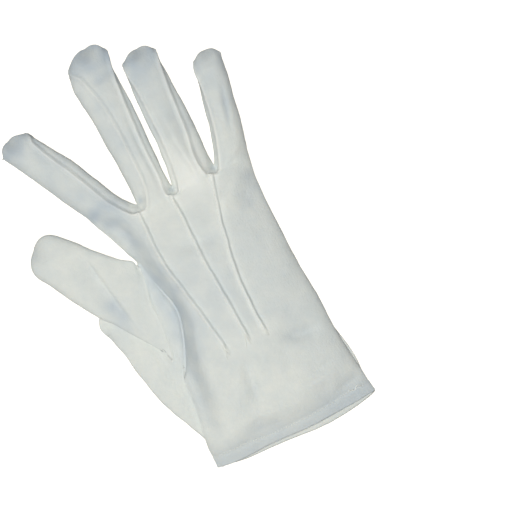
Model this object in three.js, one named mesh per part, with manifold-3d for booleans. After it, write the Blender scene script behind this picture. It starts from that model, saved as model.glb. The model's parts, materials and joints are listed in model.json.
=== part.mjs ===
// White cotton dress glove for the right hand, lying on its palm with the back of the hand up.
// It is cut and sewn from flat cloth: a back panel and a palm panel, each with four finger shapes,
// a forked strip (fourchette) between each pair of fingers, a thumb, and a turned hem at the mouth.
// Three pinched rows of stitching, the points, run down the back from between the fingers.
//
// Millimetres, +Z up. +Y runs from the mouth to the fingertips and +X towards the little finger.
// The tables measure x from the palm's middle line and y from the mouth. At the end the glove is
// moved so that its origin lies under the middle of its outline, on the face that it rests on.
import * as THREE from 'three';
import { mergeVertices } from 'three/addons/utils/BufferGeometryUtils.js';
import Module from 'manifold-3d';

const wasm = await Module();
wasm.setup();

// Driving dimensions
const OUTLINE_MIDDLE = { x: -14.3, y: 118.6 };
const WALL = 1.0; // the cotton
const SEAM_GAP = { outer: 0.4, inner: 1.1 }; // clear width between two pieces along a seam
const MOUTH_Y = -3; // the hem's folded edge
const PANEL_START = MOUTH_Y + 1.4; // where the panels start
const WAIST = 0.45; // height of a finger's widest line, as a share of its thickness
const CROTCH_WAIST = 6; // the same between two fingers, in millimetres
const VALLEY = 0.12; // share of the height by which the back dips towards the fingers' parting
const ROUNDNESS = 2.3; // exponent of a finger's upper side, 2 for an ellipse
const FLATNESS = 4; // the same for its underside, which lies flat
const UNDER_INSET = 0.16; // where the seams under a finger run, as a share of its width
const NEAR_SEAM = 0.12; // where the palm bends up towards them, as a share of the cloth between them
const POINT = { half: 0.9, high: 1.2, end: 52 }; // a raised row: half width, height, where it stops
// The hem: how long its folded edge shows, how deep it reaches, and its two faces below the outer one
const HEM = { fold: 1.0, deep: 7.5, outer: WALL + 0.4, inner: WALL + 1.4 };

// The hand, a row for each section across it. seam is the side seam by the thumb, edge the back's
// outermost fold on that side, crest where the back levels out, points the three raised rows,
// right the fold by the little finger and high the crown. flap is the outer fold of the palm's loose
// cloth and flapZ the height of its upper layer.
const HAND = [
  { y: -3, seam: [-48, 3], edge: [-49.2, 6.4], crest: [-38, 12.2], points: [-15, 0, 15],
    right: 48.4, high: 13.4, flap: -47, flapZ: 2 },
  { y: 9, seam: [-47.4, 3], edge: [-48.8, 6.6], crest: [-36, 12.8], points: [-15, 0, 14],
    right: 47.4, high: 14.2, flap: -47, flapZ: 2 },
  { y: 20, seam: [-45.6, 3.4], edge: [-47.7, 7], crest: [-33, 13.8], points: [-14.5, 0, 13],
    right: 46.4, high: 15.2, flap: -49.6, flapZ: 3 },
  { y: 35, seam: [-43, 3.8], edge: [-45, 7.6], crest: [-30, 15], points: [-14, 0, 12],
    right: 45.6, high: 16.4, flap: -56.2, flapZ: 3.6 },
  { y: 50, seam: [-41.6, 4.8], edge: [-43.2, 8.4], crest: [-28, 16], points: [-13, 0, 10.5],
    right: 45, high: 17.4, flap: -61, flapZ: 3.6 },
  { y: 64, seam: [-36, 8.2], edge: [-33, 12.2], crest: [-26, 16.8], points: [-14.2, 0, 10],
    right: 44.6, high: 18.2, flap: -63.8, flapZ: 3.5 },
  { y: 76, seam: [-31, 10], edge: [-28.4, 13.8], crest: [-22.5, 17], points: [-15.8, -0.3, 10.3],
    right: 44.2, high: 18.6, flap: -65.7, flapZ: 3.4 },
  { y: 88, seam: [-28.4, 10.8], edge: [-26, 14.2], crest: [-21.5, 17], points: [-17.6, -0.6, 11],
    right: 44.2, high: 18.4, flap: -68.5, flapZ: 3.4 },
  { y: 100, seam: [-30.6, 10], edge: [-27, 13.4], crest: [-22, 16.4], points: [-19.6, -1.2, 12.8],
    right: 44.2, high: 17.8, flap: -70, flapZ: 3.4 },
  { y: 110, seam: [-33.4, 8], edge: [-30, 11.6], crest: [-24.4, 15.4], points: [-21.2, -1.2, 15],
    right: 44.3, high: 16.8, flap: -58, flapZ: 3.4 },
  { y: 118, seam: [-34.4, 6.2], edge: [-33, 9.8], crest: [-26.6, 14.2], points: [-21.8, -1, 16.6],
    right: 44.6, high: 16, flap: -36.4, flapZ: 3.4 },
  { y: 130, seam: [-37.6, 3], edge: [-38.6, 6.4], crest: [-32, 12], points: [-21.6, -0.6, 20],
    right: 45.4, high: 14.8, flap: -38, flapZ: 2 },
  { y: 143, seam: [-41.4, 1.6], edge: [-44.2, 5.6], crest: [-37, 11.4], points: [-21, -0.9, 24],
    right: 47.3, high: 13.8, flap: -41.8, flapZ: 1.2 },
];

// The thumb hole in the palm, a row for each section that it crosses: its rim next to the back and
// its rim on the flap, each [x, z]. The two rims meet at both ends.
const THUMB_HOLE = [
  { y: 64, upper: [-42.6, 5.4], lower: [-42.6, 5.4] },
  { y: 76, upper: [-40.4, 10], lower: [-43.2, 4.2] },
  { y: 88, upper: [-39, 11.4], lower: [-43, 4] },
  { y: 98, upper: [-39, 11.2], lower: [-42.4, 4] },
  { y: 109, upper: [-37, 8.6], lower: [-40, 4.2] },
  { y: 118, upper: [-35, 5], lower: [-35, 5] },
];

// The fingers, a row for each section. leftOut and rightOut are the outline seen from above, left
// and right the seams of the back panel, each [x, y], and high is the crown. The first row is where
// the fingers part.
const FINGERS = {
  index: {
    tip: [-67.6, 214.6],
    rows: [
      { leftOut: [-44.2, 143], right: [-21, 143], rightOut: [-20, 149.5], high: 13 },
      { leftOut: [-46.4, 149], right: [-27, 147.8], rightOut: [-22, 152], high: 12.8 },
      { leftOut: [-49.6, 157], right: [-33.5, 157.5], rightOut: [-27.5, 160], high: 12.6 },
      { leftOut: [-54, 166], right: [-38.2, 168.5], rightOut: [-33, 173], high: 12.4 },
      { leftOut: [-59.6, 177], right: [-43.4, 180.5], rightOut: [-38.4, 185], high: 12.4 },
      { leftOut: [-65.6, 189], right: [-49.6, 193], rightOut: [-44, 195.4], high: 12.2 },
      { leftOut: [-71.2, 200], right: [-54.6, 205], rightOut: [-51, 206.4], high: 12 },
    ],
  },
  middle: {
    tip: [-5.4, 240.2],
    rows: [
      { leftOut: [-20, 149.5], left: [-21, 143], right: [-0.9, 143], rightOut: [2, 149], high: 13.6 },
      { leftOut: [-20.4, 152], left: [-14.6, 146.8], right: [-3.4, 147], rightOut: [1.6, 151.4], high: 13.4 },
      { leftOut: [-20.4, 160], left: [-11, 158], right: [-2.4, 158], rightOut: [2, 160], high: 13.2 },
      { leftOut: [-20.4, 174], left: [-10.2, 174], right: [-2, 174], rightOut: [2.8, 174], high: 13 },
      { leftOut: [-21, 191], left: [-10, 191], right: [-0.8, 191], rightOut: [3.8, 191], high: 12.8 },
      { leftOut: [-21.8, 208], left: [-11.2, 208], right: [1, 208], rightOut: [4.2, 208], high: 12.6 },
      { leftOut: [-22.8, 221], left: [-14.4, 222], right: [2.4, 222], rightOut: [3.4, 222], high: 12.4 },
    ],
  },
  ring: {
    tip: [20, 226.6],
    rows: [
      { leftOut: [2, 149], left: [-0.9, 143], right: [24, 143], rightOut: [28, 149.4], high: 13.4 },
      { leftOut: [2.2, 151.6], left: [5, 146], right: [20.8, 147.4], rightOut: [28, 151.8], high: 13.2 },
      { leftOut: [3, 159], left: [7.7, 158], right: [20.4, 158], rightOut: [28.2, 159], high: 13 },
      { leftOut: [4.4, 171], left: [8.8, 171], right: [22.8, 171], rightOut: [29.2, 171], high: 12.8 },
      { leftOut: [5.4, 187], left: [9.6, 187], right: [24.4, 187], rightOut: [29.6, 187], high: 12.6 },
      { leftOut: [6.2, 202], left: [9.8, 202], right: [26, 202], rightOut: [29.2, 202], high: 12.4 },
      { leftOut: [7.4, 213.6], left: [8.8, 213.6],
        right: [27.6, 213.6], rightOut: [28.8, 213.6], high: 12.2 },
    ],
  },
  little: {
    tip: [53.4, 208],
    rows: [
      { leftOut: [28, 149.4], left: [24, 143], rightOut: [47.3, 143], high: 13 },
      { leftOut: [29.4, 152], left: [29.8, 145.6], rightOut: [48.8, 149], high: 12.4 },
      { leftOut: [32.4, 159.4], left: [35.2, 157.8], rightOut: [50.8, 156.6], high: 12 },
      { leftOut: [35.4, 169.6], left: [38.4, 168.8], rightOut: [53.4, 166.6], high: 11.8 },
      { leftOut: [38, 181], left: [40.8, 180.4], rightOut: [56, 178], high: 11.6 },
      { leftOut: [41.2, 193], left: [42.4, 192.6], rightOut: [58.4, 190], high: 11.4 },
      { leftOut: [42.6, 199.4], left: [43, 199.2], rightOut: [59.6, 197.6], high: 11.2 },
    ],
  },
};

// The thumb, a row for each section beyond its hole. inner is the outline next to the index finger,
// outer the one next to the wrist, floor the height of its underside and high that of its crown.
const THUMB = {
  tip: [-83.6, 153.6],
  rows: [
    { inner: [-37.4, 121.8], outer: [-51, 76.5], floor: 4, high: 14.4 },
    { inner: [-42.4, 127], outer: [-59.4, 89.6], floor: 4, high: 14.4 },
    { inner: [-48.4, 133.4], outer: [-66.6, 101], floor: 3.9, high: 13.8 },
    { inner: [-54.6, 140.4], outer: [-73.6, 112.6], floor: 2, high: 13.2 },
    { inner: [-59.8, 147], outer: [-79.4, 123], floor: 0.3, high: 12.6 },
    { inner: [-65.6, 153.6], outer: [-84.8, 134], floor: 0, high: 12.2 },
  ],
};

// Mesh fineness: where the hand, the fingers and their tips are cut into rows
const HAND_AT = [
  PANEL_START, 4.5, 12, 21, 32, 42, 50, 57, 64, 70, 76, 82, 88, 94, 100, 106, 112, 118, 124, 133, 143,
];
const HOLE = { from: 64, to: 118 };
const FINGER_AT = [0, 0.5, 1, 1.5, 2, 3, 4, 5, 6];
const THUMB_AT = [0, 1, 2, 3, 4, 5];
const TIP_AT = [0.35, 0.62, 0.84, 1];
const SEAMS_MEET = 0.62; // share of the tip at which a fourchette ends in a point
const TIP_BLUNTNESS = 2.6;

const lerp = (a, b, t) => a + (b - a) * t;
const clamp = (value, low, high) => Math.min(high, Math.max(low, value));
const ease = (t) => clamp(t, 0, 1) ** 2 * (3 - 2 * clamp(t, 0, 1));
const point = (x, y, z) => new THREE.Vector3(x, y, z);
const between = (p, q, t) => p.clone().lerp(q, t);
const keyOf = (p) => `${p.x.toFixed(3)},${p.y.toFixed(3)},${p.z.toFixed(3)}`;

// Value at a place on the smooth curve through a list of places and values.
function curveValue(places, values, at) {
  const last = places.length - 1;
  const slope = (k) => {
    const [a, b] = [Math.max(0, k - 1), Math.min(last, k + 1)];
    return (values[b] - values[a]) / (places[b] - places[a]);
  };
  let i = 0;
  while (i < last - 1 && at >= places[i + 1]) i += 1;
  const span = places[i + 1] - places[i];
  const t = (at - places[i]) / span;
  const bend = span * t * (1 - t) * ((1 - t) * slope(i) - t * slope(i + 1));
  return lerp(values[i], values[i + 1], t * t * (3 - 2 * t)) + bend;
}

// A table's row at any place along it. A column is a number or a list of numbers.
function rowAt(rows, places, at) {
  const read = (pick) => curveValue(places, rows.map(pick), at);
  const row = {};
  for (const [name, value] of Object.entries(rows[0])) {
    row[name] = Array.isArray(value) ? value.map((_, k) => read((r) => r[name][k])) : read((r) => r[name]);
  }
  return row;
}

const rowAtY = (rows, y) => rowAt(rows, rows.map((r) => r.y), y);
const rowAtIndex = (rows, at) => rowAt(rows, rows.map((_, k) => k), at);

// A point on the smooth curve through anchor points, counted from 0 at the first.
function throughAnchors(anchors, at) {
  const places = [0];
  anchors.slice(1).forEach((a, k) => places.push(places[k] + Math.max(a.distanceTo(anchors[k]), 1e-6)));
  const k = Math.min(Math.floor(at), anchors.length - 2);
  const reached = lerp(places[k], places[k + 1], at - k);
  return point(...['x', 'y', 'z'].map((axis) => curveValue(places, anchors.map((a) => a[axis]), reached)));
}

// Share of its full height that a rounded section has at u, from -1 at one side to 1 at the other.
const bow = (u, exponent) => (1 - Math.abs(clamp(u, -1, 1)) ** exponent) ** (1 / exponent);

// The back's columns in the strip of cloth that runs on into each finger, counted in anchors from
// the side seam by the thumb. Next to a raised row lies a narrow strip, given as [anchor, direction].
const LANES = {
  index: [0, 0.5, 1, 1.5, 2, 2.5, [3, -1], 3],
  middle: [3, [3, 1], 3.33, 3.67, [4, -1], 4],
  ring: [4, [4, 1], 4.33, 4.67, [5, -1], 5],
  little: [5, [5, 1], 5.5, 6, 6.5, 7, 7.5, 8],
};
const FIRST_POINT = 3;
const LAST_POINT = 5;

function backAnchors(y) {
  const r = rowAtY(HAND, y);
  const crown = r.high * (1 - VALLEY * ease((y - 116) / 27));
  return [
    point(r.seam[0], y, r.seam[1]),
    point(r.edge[0], y, r.edge[1]),
    point(r.crest[0], y, r.crest[1]),
    point(r.points[0], y, crown * 0.97),
    point(r.points[1], y, crown),
    point(r.points[2], y, crown * 0.98),
    point(r.right - 9, y, r.high * 0.84),
    point(r.right, y, r.high * 0.42),
    point(r.right - 3, y, 1.3),
  ];
}

// A column's place among its anchors, with the narrow strips at their real width.
function placeOf(column, anchors, first = 0) {
  if (!Array.isArray(column)) return column - first;
  const [anchor, direction] = column;
  const reach = anchors[anchor - first].distanceTo(anchors[anchor - first + direction]);
  return anchor - first + (direction * POINT.half) / Math.max(reach, 3 * POINT.half);
}

const backLane = (name, anchors) => LANES[name].map((c) => throughAnchors(anchors, placeOf(c, anchors)));

const PARTING_Y = HAND[HAND.length - 1].y;
const PARTINGS = backAnchors(PARTING_Y).slice(FIRST_POINT, LAST_POINT + 1);
const FINGER_NAMES = Object.keys(FINGERS);

// One section of a finger: the points where its pieces meet and its height over the plan.
// Beyond the table's last row, tip runs from 0 to 1 and closes the section to a point.
class FingerSection {
  constructor(name, at, tip = 0) {
    const row = rowAtIndex(FINGERS[name].rows, at);
    const order = FINGER_NAMES.indexOf(name);
    this.name = name;
    this.high = row.high;
    this.waist = row.high * WAIST;
    this.root = clamp(1 - at / 1.5, 0, 1);
    this.leftOut = point(...row.leftOut, this.waist);
    this.rightOut = point(...row.rightOut, this.waist);
    this.left = this.side(this.leftOut, this.rightOut, row.left, PARTINGS[order - 1], at, tip);
    this.right = this.side(this.rightOut, this.leftOut, row.right, PARTINGS[order], at, tip);
    this.shrink = bow(tip, TIP_BLUNTNESS);
    this.middle = between(this.leftOut, this.rightOut, 0.5);
    this.centre = between(this.middle, point(...FINGERS[name].tip, this.waist), tip);
  }

  // The widest point of one side, and the seams above and below it. A side without a fourchette
  // has a crest in place of the upper seam.
  side(outline, far, seamPlan, parting, at, tip) {
    const meet = ease(tip / SEAMS_MEET);
    const inset = UNDER_INSET * (1 - clamp(tip / SEAMS_MEET, 0, 1) ** 3);
    const under = this.onUnderside(between(outline, far, inset));
    const out = outline.clone();
    if (!parting) {
      under.z = lerp(1.6, under.z, ease(at / 2));
      return { out, under: under.lerp(out, meet), seam: this.onTop(between(out, far, 0.28)) };
    }
    out.z = lerp(out.z, CROTCH_WAIST, this.root);
    const seam = point(...seamPlan, 0).lerp(outline.clone().setZ(0), meet);
    seam.z = lerp(this.onTop(seam).z, parting.z, this.root);
    under.lerp(parting.clone().setZ(0), this.root).lerp(out, meet);
    return { out, under, seam };
  }

  across(place) {
    const span = this.rightOut.clone().sub(this.leftOut).setZ(0);
    return 2 * (place.clone().sub(this.leftOut).setZ(0).dot(span) / span.lengthSq()) - 1;
  }

  onTop(place) {
    return place.setZ(this.waist + (this.high - this.waist) * bow(this.across(place), ROUNDNESS));
  }

  onUnderside(place) {
    return place.setZ(this.waist * (1 - bow(this.across(place), FLATNESS)));
  }

  // Shrinks points about the section's middle and moves them towards the tip.
  settle(points) {
    return points.map((p) => p.clone().sub(this.middle).multiplyScalar(this.shrink).add(this.centre));
  }

  // The back's points, on the same columns as its lane in the hand.
  back() {
    const { left, right } = this;
    const roof = (t) => {
      const place = between(left.seam, right.seam, t);
      return place.setZ(lerp(this.onTop(place.clone()).z, place.z, this.root));
    };
    if (this.name === 'index') {
      const anchors = [left.under, left.out, left.seam, right.seam];
      const places = LANES.index.map((c) => placeOf(c, anchors));
      return this.settle(places.map((at) => (at <= 2 ? throughAnchors(anchors, at) : roof(at - 2))));
    }
    if (this.name === 'little') {
      const anchors = [left.seam, right.seam, right.out, right.under];
      const places = LANES.little.map((c) => placeOf(c, anchors, LAST_POINT));
      return this.settle(places.map((at) => (at < 1 ? roof(at) : throughAnchors(anchors, at))));
    }
    const [first] = LANES[this.name];
    return this.settle(LANES[this.name].map((c) => roof(placeOf(c, [left.seam, right.seam], first))));
  }

  // The palm's points, on the same columns as its lane in the hand.
  palm() {
    const { left, right } = this;
    const floor = (t) => this.onUnderside(between(right.under, left.under, t));
    const row = [right.under, floor(NEAR_SEAM), floor(0.5), floor(1 - NEAR_SEAM), left.under];
    return this.settle(this.name === 'index' ? [...row, ...Array(4).fill(left.under)] : row);
  }

  // A fourchette's points on one side, from the seam underneath to the seam on the back.
  fourchette({ under, out, seam }) {
    const lower = between(out, under, 0.5);
    const upper = between(out, seam, 0.5);
    lower.z = lerp(this.onUnderside(lower.clone()).z, lower.z, this.root);
    upper.z = lerp(this.onTop(upper.clone()).z, upper.z, this.root);
    return this.settle([under, lower, out, upper, seam]);
  }
}

function fingerSections(name) {
  const last = FINGERS[name].rows.length - 1;
  const shaft = FINGER_AT.map((at) => new FingerSection(name, at));
  return shaft.concat(TIP_AT.map((tip) => new FingerSection(name, last, tip)));
}

const SECTIONS = Object.fromEntries(FINGER_NAMES.map((name) => [name, fingerSections(name)]));

// The palm's columns over one section of the hand, from the side seam by the little finger across
// the floor and round the flap's outer fold to the thumb hole's lower rim. The strip beside the
// hole runs from its upper rim to the side seam by the thumb.
function palmColumns(y) {
  const r = rowAtY(HAND, y);
  const [first, second, third] = r.points;
  const seam = point(r.seam[0], y, r.seam[1]);
  const flap = point(r.flap, y, r.flapZ * 0.5);
  const loose = clamp(seam.x - flap.x, 0, 4);
  const turn = point(r.flap + loose * 0.3, y, lerp(lerp(flap.z, seam.z, 0.3), r.flapZ, loose / 4));
  const hole = y >= HOLE.from && y <= HOLE.to ? rowAtY(THUMB_HOLE, y) : null;
  const joined = between(turn, seam, 0.8).setZ(lerp(turn.z, seam.z, 0.5));
  const upper = hole ? point(hole.upper[0], y, hole.upper[1]) : joined;
  const lower = hole ? point(hole.lower[0], y, hole.lower[1]) : joined;
  const onFlap = between(turn, lower, 0.5).setZ(lerp(turn.z, lower.z, 0.3));
  const floor = (from, to, shares) => shares.map((t) => point(lerp(from, to, t), y, 0));
  return {
    little: [
      point(r.right - 3, y, 1.3),
      point(r.right - 6, y, 0.2),
      ...floor(r.right - 6, third, [0.5, 1 - NEAR_SEAM, 1]),
    ],
    ring: floor(third, second, [0, NEAR_SEAM, 0.5, 1 - NEAR_SEAM, 1]),
    middle: floor(second, first, [0, NEAR_SEAM, 0.5, 1 - NEAR_SEAM, 1]),
    index: [
      ...floor(first, r.flap + 4, [0, NEAR_SEAM, 0.5, 1]),
      point(r.flap + 1.2, y, 0.3),
      flap,
      turn,
      onFlap,
      lower,
    ],
    strip: [upper, seam],
  };
}

// Cloth: the outer face of a piece as triangles turned outwards, and how far its points are raised.
class Cloth {
  constructor(name) {
    this.name = name;
    this.triangles = [];
    this.raised = new Map();
  }

  triangle(...corners) {
    if (new Set(corners.map(keyOf)).size === 3) this.triangles.push(corners);
  }

  // Joins neighbouring rows of equally many points, across the shorter diagonal.
  weave(rows) {
    for (let j = 0; j + 1 < rows.length; j += 1) {
      for (let k = 0; k + 1 < rows[j].length; k += 1) {
        const [a, b, c, d] = [rows[j][k], rows[j][k + 1], rows[j + 1][k + 1], rows[j + 1][k]];
        if (a.distanceTo(c) <= b.distanceTo(d)) {
          this.triangle(a, b, c);
          this.triangle(a, c, d);
        } else {
          this.triangle(a, b, d);
          this.triangle(b, c, d);
        }
      }
    }
    return this;
  }
}

function backPanel() {
  const cloth = new Cloth('back_panel');
  const anchors = HAND_AT.map(backAnchors);
  for (const name of FINGER_NAMES) {
    const hand = anchors.map((a) => backLane(name, a));
    cloth.weave([...hand, ...SECTIONS[name].slice(1).map((s) => s.back())]);
  }
  HAND_AT.forEach((y, j) => {
    const high = POINT.high * ease((y - POINT.end) / 8);
    if (high > 0) PARTINGS.forEach((_, k) => cloth.raised.set(keyOf(anchors[j][FIRST_POINT + k]), high));
  });
  return cloth;
}

function palmPanel() {
  const cloth = new Cloth('palm_panel');
  const hand = HAND_AT.map(palmColumns);
  for (const name of FINGER_NAMES) {
    cloth.weave([...hand.map((columns) => columns[name]), ...SECTIONS[name].slice(1).map((s) => s.palm())]);
  }
  const onIndex = SECTIONS.index[1].palm().slice(-2);
  return cloth.weave([...hand.map((columns) => columns.strip), onIndex]);
}

// A forked strip: down one finger's side, round the parting and up the next finger's side.
function fourchette(leftFinger, rightFinger) {
  const down = SECTIONS[leftFinger].map((s) => s.fourchette(s.right)).reverse();
  const up = SECTIONS[rightFinger].slice(1).map((s) => s.fourchette(s.left));
  return new Cloth(`fourchette_${leftFinger}_${rightFinger}`).weave([...down, ...up]);
}

// The thumb: a tube from the rim of its hole to its tip.
function thumb() {
  const rim = HAND_AT.filter((y) => y >= HOLE.from && y <= HOLE.to);
  const upperRim = rim.map((y) => palmColumns(y).strip[0]);
  const lowerRim = rim.map((y) => palmColumns(y).index.at(-1));
  const ring = (upper, lower) => [...upper, ...lower.slice(1, -1).reverse(), upper[0]];
  const section = (at, tip) => {
    const r = rowAtIndex(THUMB.rows, at);
    const waist = lerp(r.floor, r.high, WAIST);
    const [outer, inner] = [point(...r.outer, waist), point(...r.inner, waist)];
    const middle = between(outer, inner, 0.5);
    const centre = between(middle, point(...THUMB.tip, waist), tip);
    const side = (height, exponent) => rim.map((y) => {
      const u = -Math.cos(((y - HOLE.from) / (HOLE.to - HOLE.from)) * Math.PI);
      const place = between(outer, inner, (u + 1) / 2).setZ(waist + height * bow(u, exponent));
      return place.sub(middle).multiplyScalar(bow(tip, TIP_BLUNTNESS)).add(centre);
    });
    return ring(side(r.high - waist, ROUNDNESS), side(r.floor - waist, FLATNESS));
  };
  const last = THUMB.rows.length - 1;
  const shaft = THUMB_AT.map((at) => section(at, 0));
  const end = TIP_AT.map((tip) => section(last, tip));
  return new Cloth('thumb').weave([ring(upperRim, lowerRim), ...shaft, ...end]);
}

// Normals of the whole skin, shared by the pieces that meet at a seam, so that their walls meet in
// a mitre. A normal is lengthened at a bend so that the wall keeps its thickness.
function skinNormals(cloths) {
  const around = new Map();
  for (const corners of cloths.flatMap((cloth) => cloth.triangles)) {
    const normal = new THREE.Triangle(...corners).getNormal(point(0, 0, 0));
    corners.forEach((p, k) => {
      const [q, r] = [corners[(k + 1) % 3], corners[(k + 2) % 3]];
      const angle = q.clone().sub(p).angleTo(r.clone().sub(p));
      if (!around.has(keyOf(p))) around.set(keyOf(p), []);
      around.get(keyOf(p)).push({ normal, angle });
    });
  }
  const normals = new Map();
  for (const [key, faces] of around) {
    const sum = point(0, 0, 0);
    faces.forEach(({ normal, angle }) => sum.addScaledVector(normal, angle));
    sum.normalize();
    const total = faces.reduce((all, { angle }) => all + angle, 0);
    const facing = faces.reduce((all, { normal, angle }) => all + angle * normal.dot(sum), 0) / total;
    normals.set(key, sum.divideScalar(clamp(facing, 0.65, 1)));
  }
  return normals;
}

// Gives a piece its wall: the outer face, the inner face and the cut edge between them, drawn back
// from the seam by half of the seam's gap, and by up to SHARPEST times that at a corner. swell
// makes the wall thicker on both faces, for the room that a neighbour leaves it.
const SHARPEST = 5;

function wallGeometry(cloth, normals, swell = 0) {
  const index = new Map();
  const outer = [];
  for (const p of cloth.triangles.flat()) {
    if (!index.has(keyOf(p))) {
      index.set(keyOf(p), outer.length);
      outer.push(p.clone());
    }
  }
  const normalOf = outer.map((p) => normals.get(keyOf(p)));
  const raise = outer.map((p) => cloth.raised.get(keyOf(p)) ?? 0);
  const faces = cloth.triangles.map((corners) => corners.map((p) => index.get(keyOf(p))));
  const edges = new Map();
  faces.forEach((face) => face.forEach((a, k) => edges.set(`${a},${face[(k + 1) % 3]}`, face)));
  const border = [...edges].filter(([edge]) => !edges.has(edge.split(',').reverse().join()));
  const drawIn = new Map();
  for (const [edge, face] of border) {
    const [a, b] = edge.split(',').map(Number);
    const along = outer[b].clone().sub(outer[a]).normalize();
    const inward = new THREE.Triangle(...face.map((k) => outer[k])).getNormal(point(0, 0, 0)).cross(along);
    [a, b].forEach((k) => drawIn.set(k, (drawIn.get(k) ?? point(0, 0, 0)).add(inward)));
  }
  const inner = outer.map((p, k) => p.clone().addScaledVector(normalOf[k], -WALL - swell));
  outer.forEach((p, k) => p.addScaledVector(normalOf[k], raise[k] + swell));
  for (const [k, direction] of drawIn) {
    direction.setLength(Math.min(2 / direction.length(), SHARPEST));
    outer[k].addScaledVector(direction, SEAM_GAP.outer / 2 - swell);
    inner[k].addScaledVector(direction, SEAM_GAP.inner / 2 - swell);
  }
  const count = outer.length;
  const indices = faces.flatMap(([a, b, c]) => [a, b, c, c + count, b + count, a + count]);
  for (const [edge] of border) {
    const [a, b] = edge.split(',').map(Number);
    indices.push(a, a + count, b + count, a, b + count, b);
  }
  const geometry = new THREE.BufferGeometry().setFromPoints([...outer, ...inner]);
  geometry.setIndex(indices);
  geometry.computeVertexNormals();
  return geometry;
}

// A fourchette's pointed ends lie between the panels: cuts away what would touch the palm's wall.
function cutClear(geometry, neighbour) {
  const solid = (from) => {
    const bare = from.clone();
    bare.deleteAttribute('normal');
    const { attributes, index } = mergeVertices(bare, 1e-3);
    const triVerts = new Uint32Array(index.array);
    const vertProperties = attributes.position.array;
    return new wasm.Manifold(new wasm.Mesh({ numProp: 3, vertProperties, triVerts }));
  };
  const { vertProperties, triVerts } = solid(geometry).subtract(solid(neighbour)).getMesh();
  const cut = new THREE.BufferGeometry();
  cut.setAttribute('position', new THREE.BufferAttribute(vertProperties, 3));
  cut.setIndex(new THREE.BufferAttribute(triVerts, 1));
  cut.computeVertexNormals();
  return cut;
}

// The closed line round the hand at one section: over the back, then under the palm.
function mouthLoop(y) {
  const palm = palmColumns(y);
  const back = FINGER_NAMES.flatMap((name) => backLane(name, backAnchors(y)));
  const under = [...FINGER_NAMES].reverse().concat('strip').flatMap((name) => palm[name]);
  const loop = [];
  for (const p of [...back, ...under]) {
    if (loop.every((q) => q.distanceTo(p) > 0.05)) loop.push(p);
  }
  return loop;
}

// The hem: the cloth turned in at the mouth, a folded edge with a band inside the panels.
function hemGeometry() {
  const ring = ([length, depth]) => mouthLoop(MOUTH_Y + length).map((p, k, loop) => {
    const arriving = p.clone().sub(loop.at(k - 1)).normalize();
    const leaving = loop[(k + 1) % loop.length].clone().sub(p).normalize();
    const inward = point(arriving.z + leaving.z, 0, -arriving.x - leaving.x).normalize();
    const facing = inward.dot(point(arriving.z, 0, -arriving.x));
    return p.clone().addScaledVector(inward, depth / clamp(facing, 0.7, 1));
  });
  const { fold, deep, outer, inner } = HEM;
  const profile = [
    [0, 0], [fold, 0], [fold, outer], [deep / 2, outer],
    [deep, outer], [deep, inner], [deep / 2, inner], [0, inner],
  ];
  const rings = profile.map(ring);
  const count = rings[0].length;
  const indices = [];
  rings.forEach((_, j) => {
    const next = ((j + 1) % rings.length) * count;
    for (let k = 0; k < count; k += 1) {
      const after = (k + 1) % count;
      const [a, b, c, d] = [j * count + k, j * count + after, next + after, next + k];
      indices.push(a, b, c, a, c, d);
    }
  });
  const geometry = new THREE.BufferGeometry().setFromPoints(rings.flat());
  geometry.setIndex(indices);
  geometry.computeVertexNormals();
  return geometry;
}

// Bleached cotton, a little darker inside the hem and between the fingers
const COLOURS = {
  back_panel: '#e9ebe6',
  palm_panel: '#e4e6e0',
  fourchette_index_middle: '#dde1dd',
  fourchette_middle_ring: '#dde1dd',
  fourchette_ring_little: '#dde1dd',
  thumb: '#e6e8e3',
  cuff_hem: '#e2e4de',
};

const glove = new THREE.Group();
function addPiece(name, geometry) {
  const cotton = new THREE.MeshStandardMaterial({ color: COLOURS[name], roughness: 0.92, metalness: 0 });
  const piece = new THREE.Mesh(geometry, cotton);
  piece.name = name;
  glove.add(piece);
}

const palm = palmPanel();
const panels = [backPanel(), palm, thumb()];
const fourchettes = [
  fourchette('index', 'middle'), fourchette('middle', 'ring'), fourchette('ring', 'little'),
];
const normals = skinNormals([...panels, ...fourchettes]);
panels.forEach((cloth) => addPiece(cloth.name, wallGeometry(cloth, normals)));
const palmRoom = wallGeometry(palm, normals, SEAM_GAP.outer / 2);
fourchettes.forEach((cloth) => addPiece(cloth.name, cutClear(wallGeometry(cloth, normals), palmRoom)));
addPiece('cuff_hem', hemGeometry());
glove.position.set(-OUTLINE_MIDDLE.x, -OUTLINE_MIDDLE.y, 0);

export default glove;
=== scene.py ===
import json
import math

import bpy
import numpy as np
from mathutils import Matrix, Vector, kdtree, noise

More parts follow.
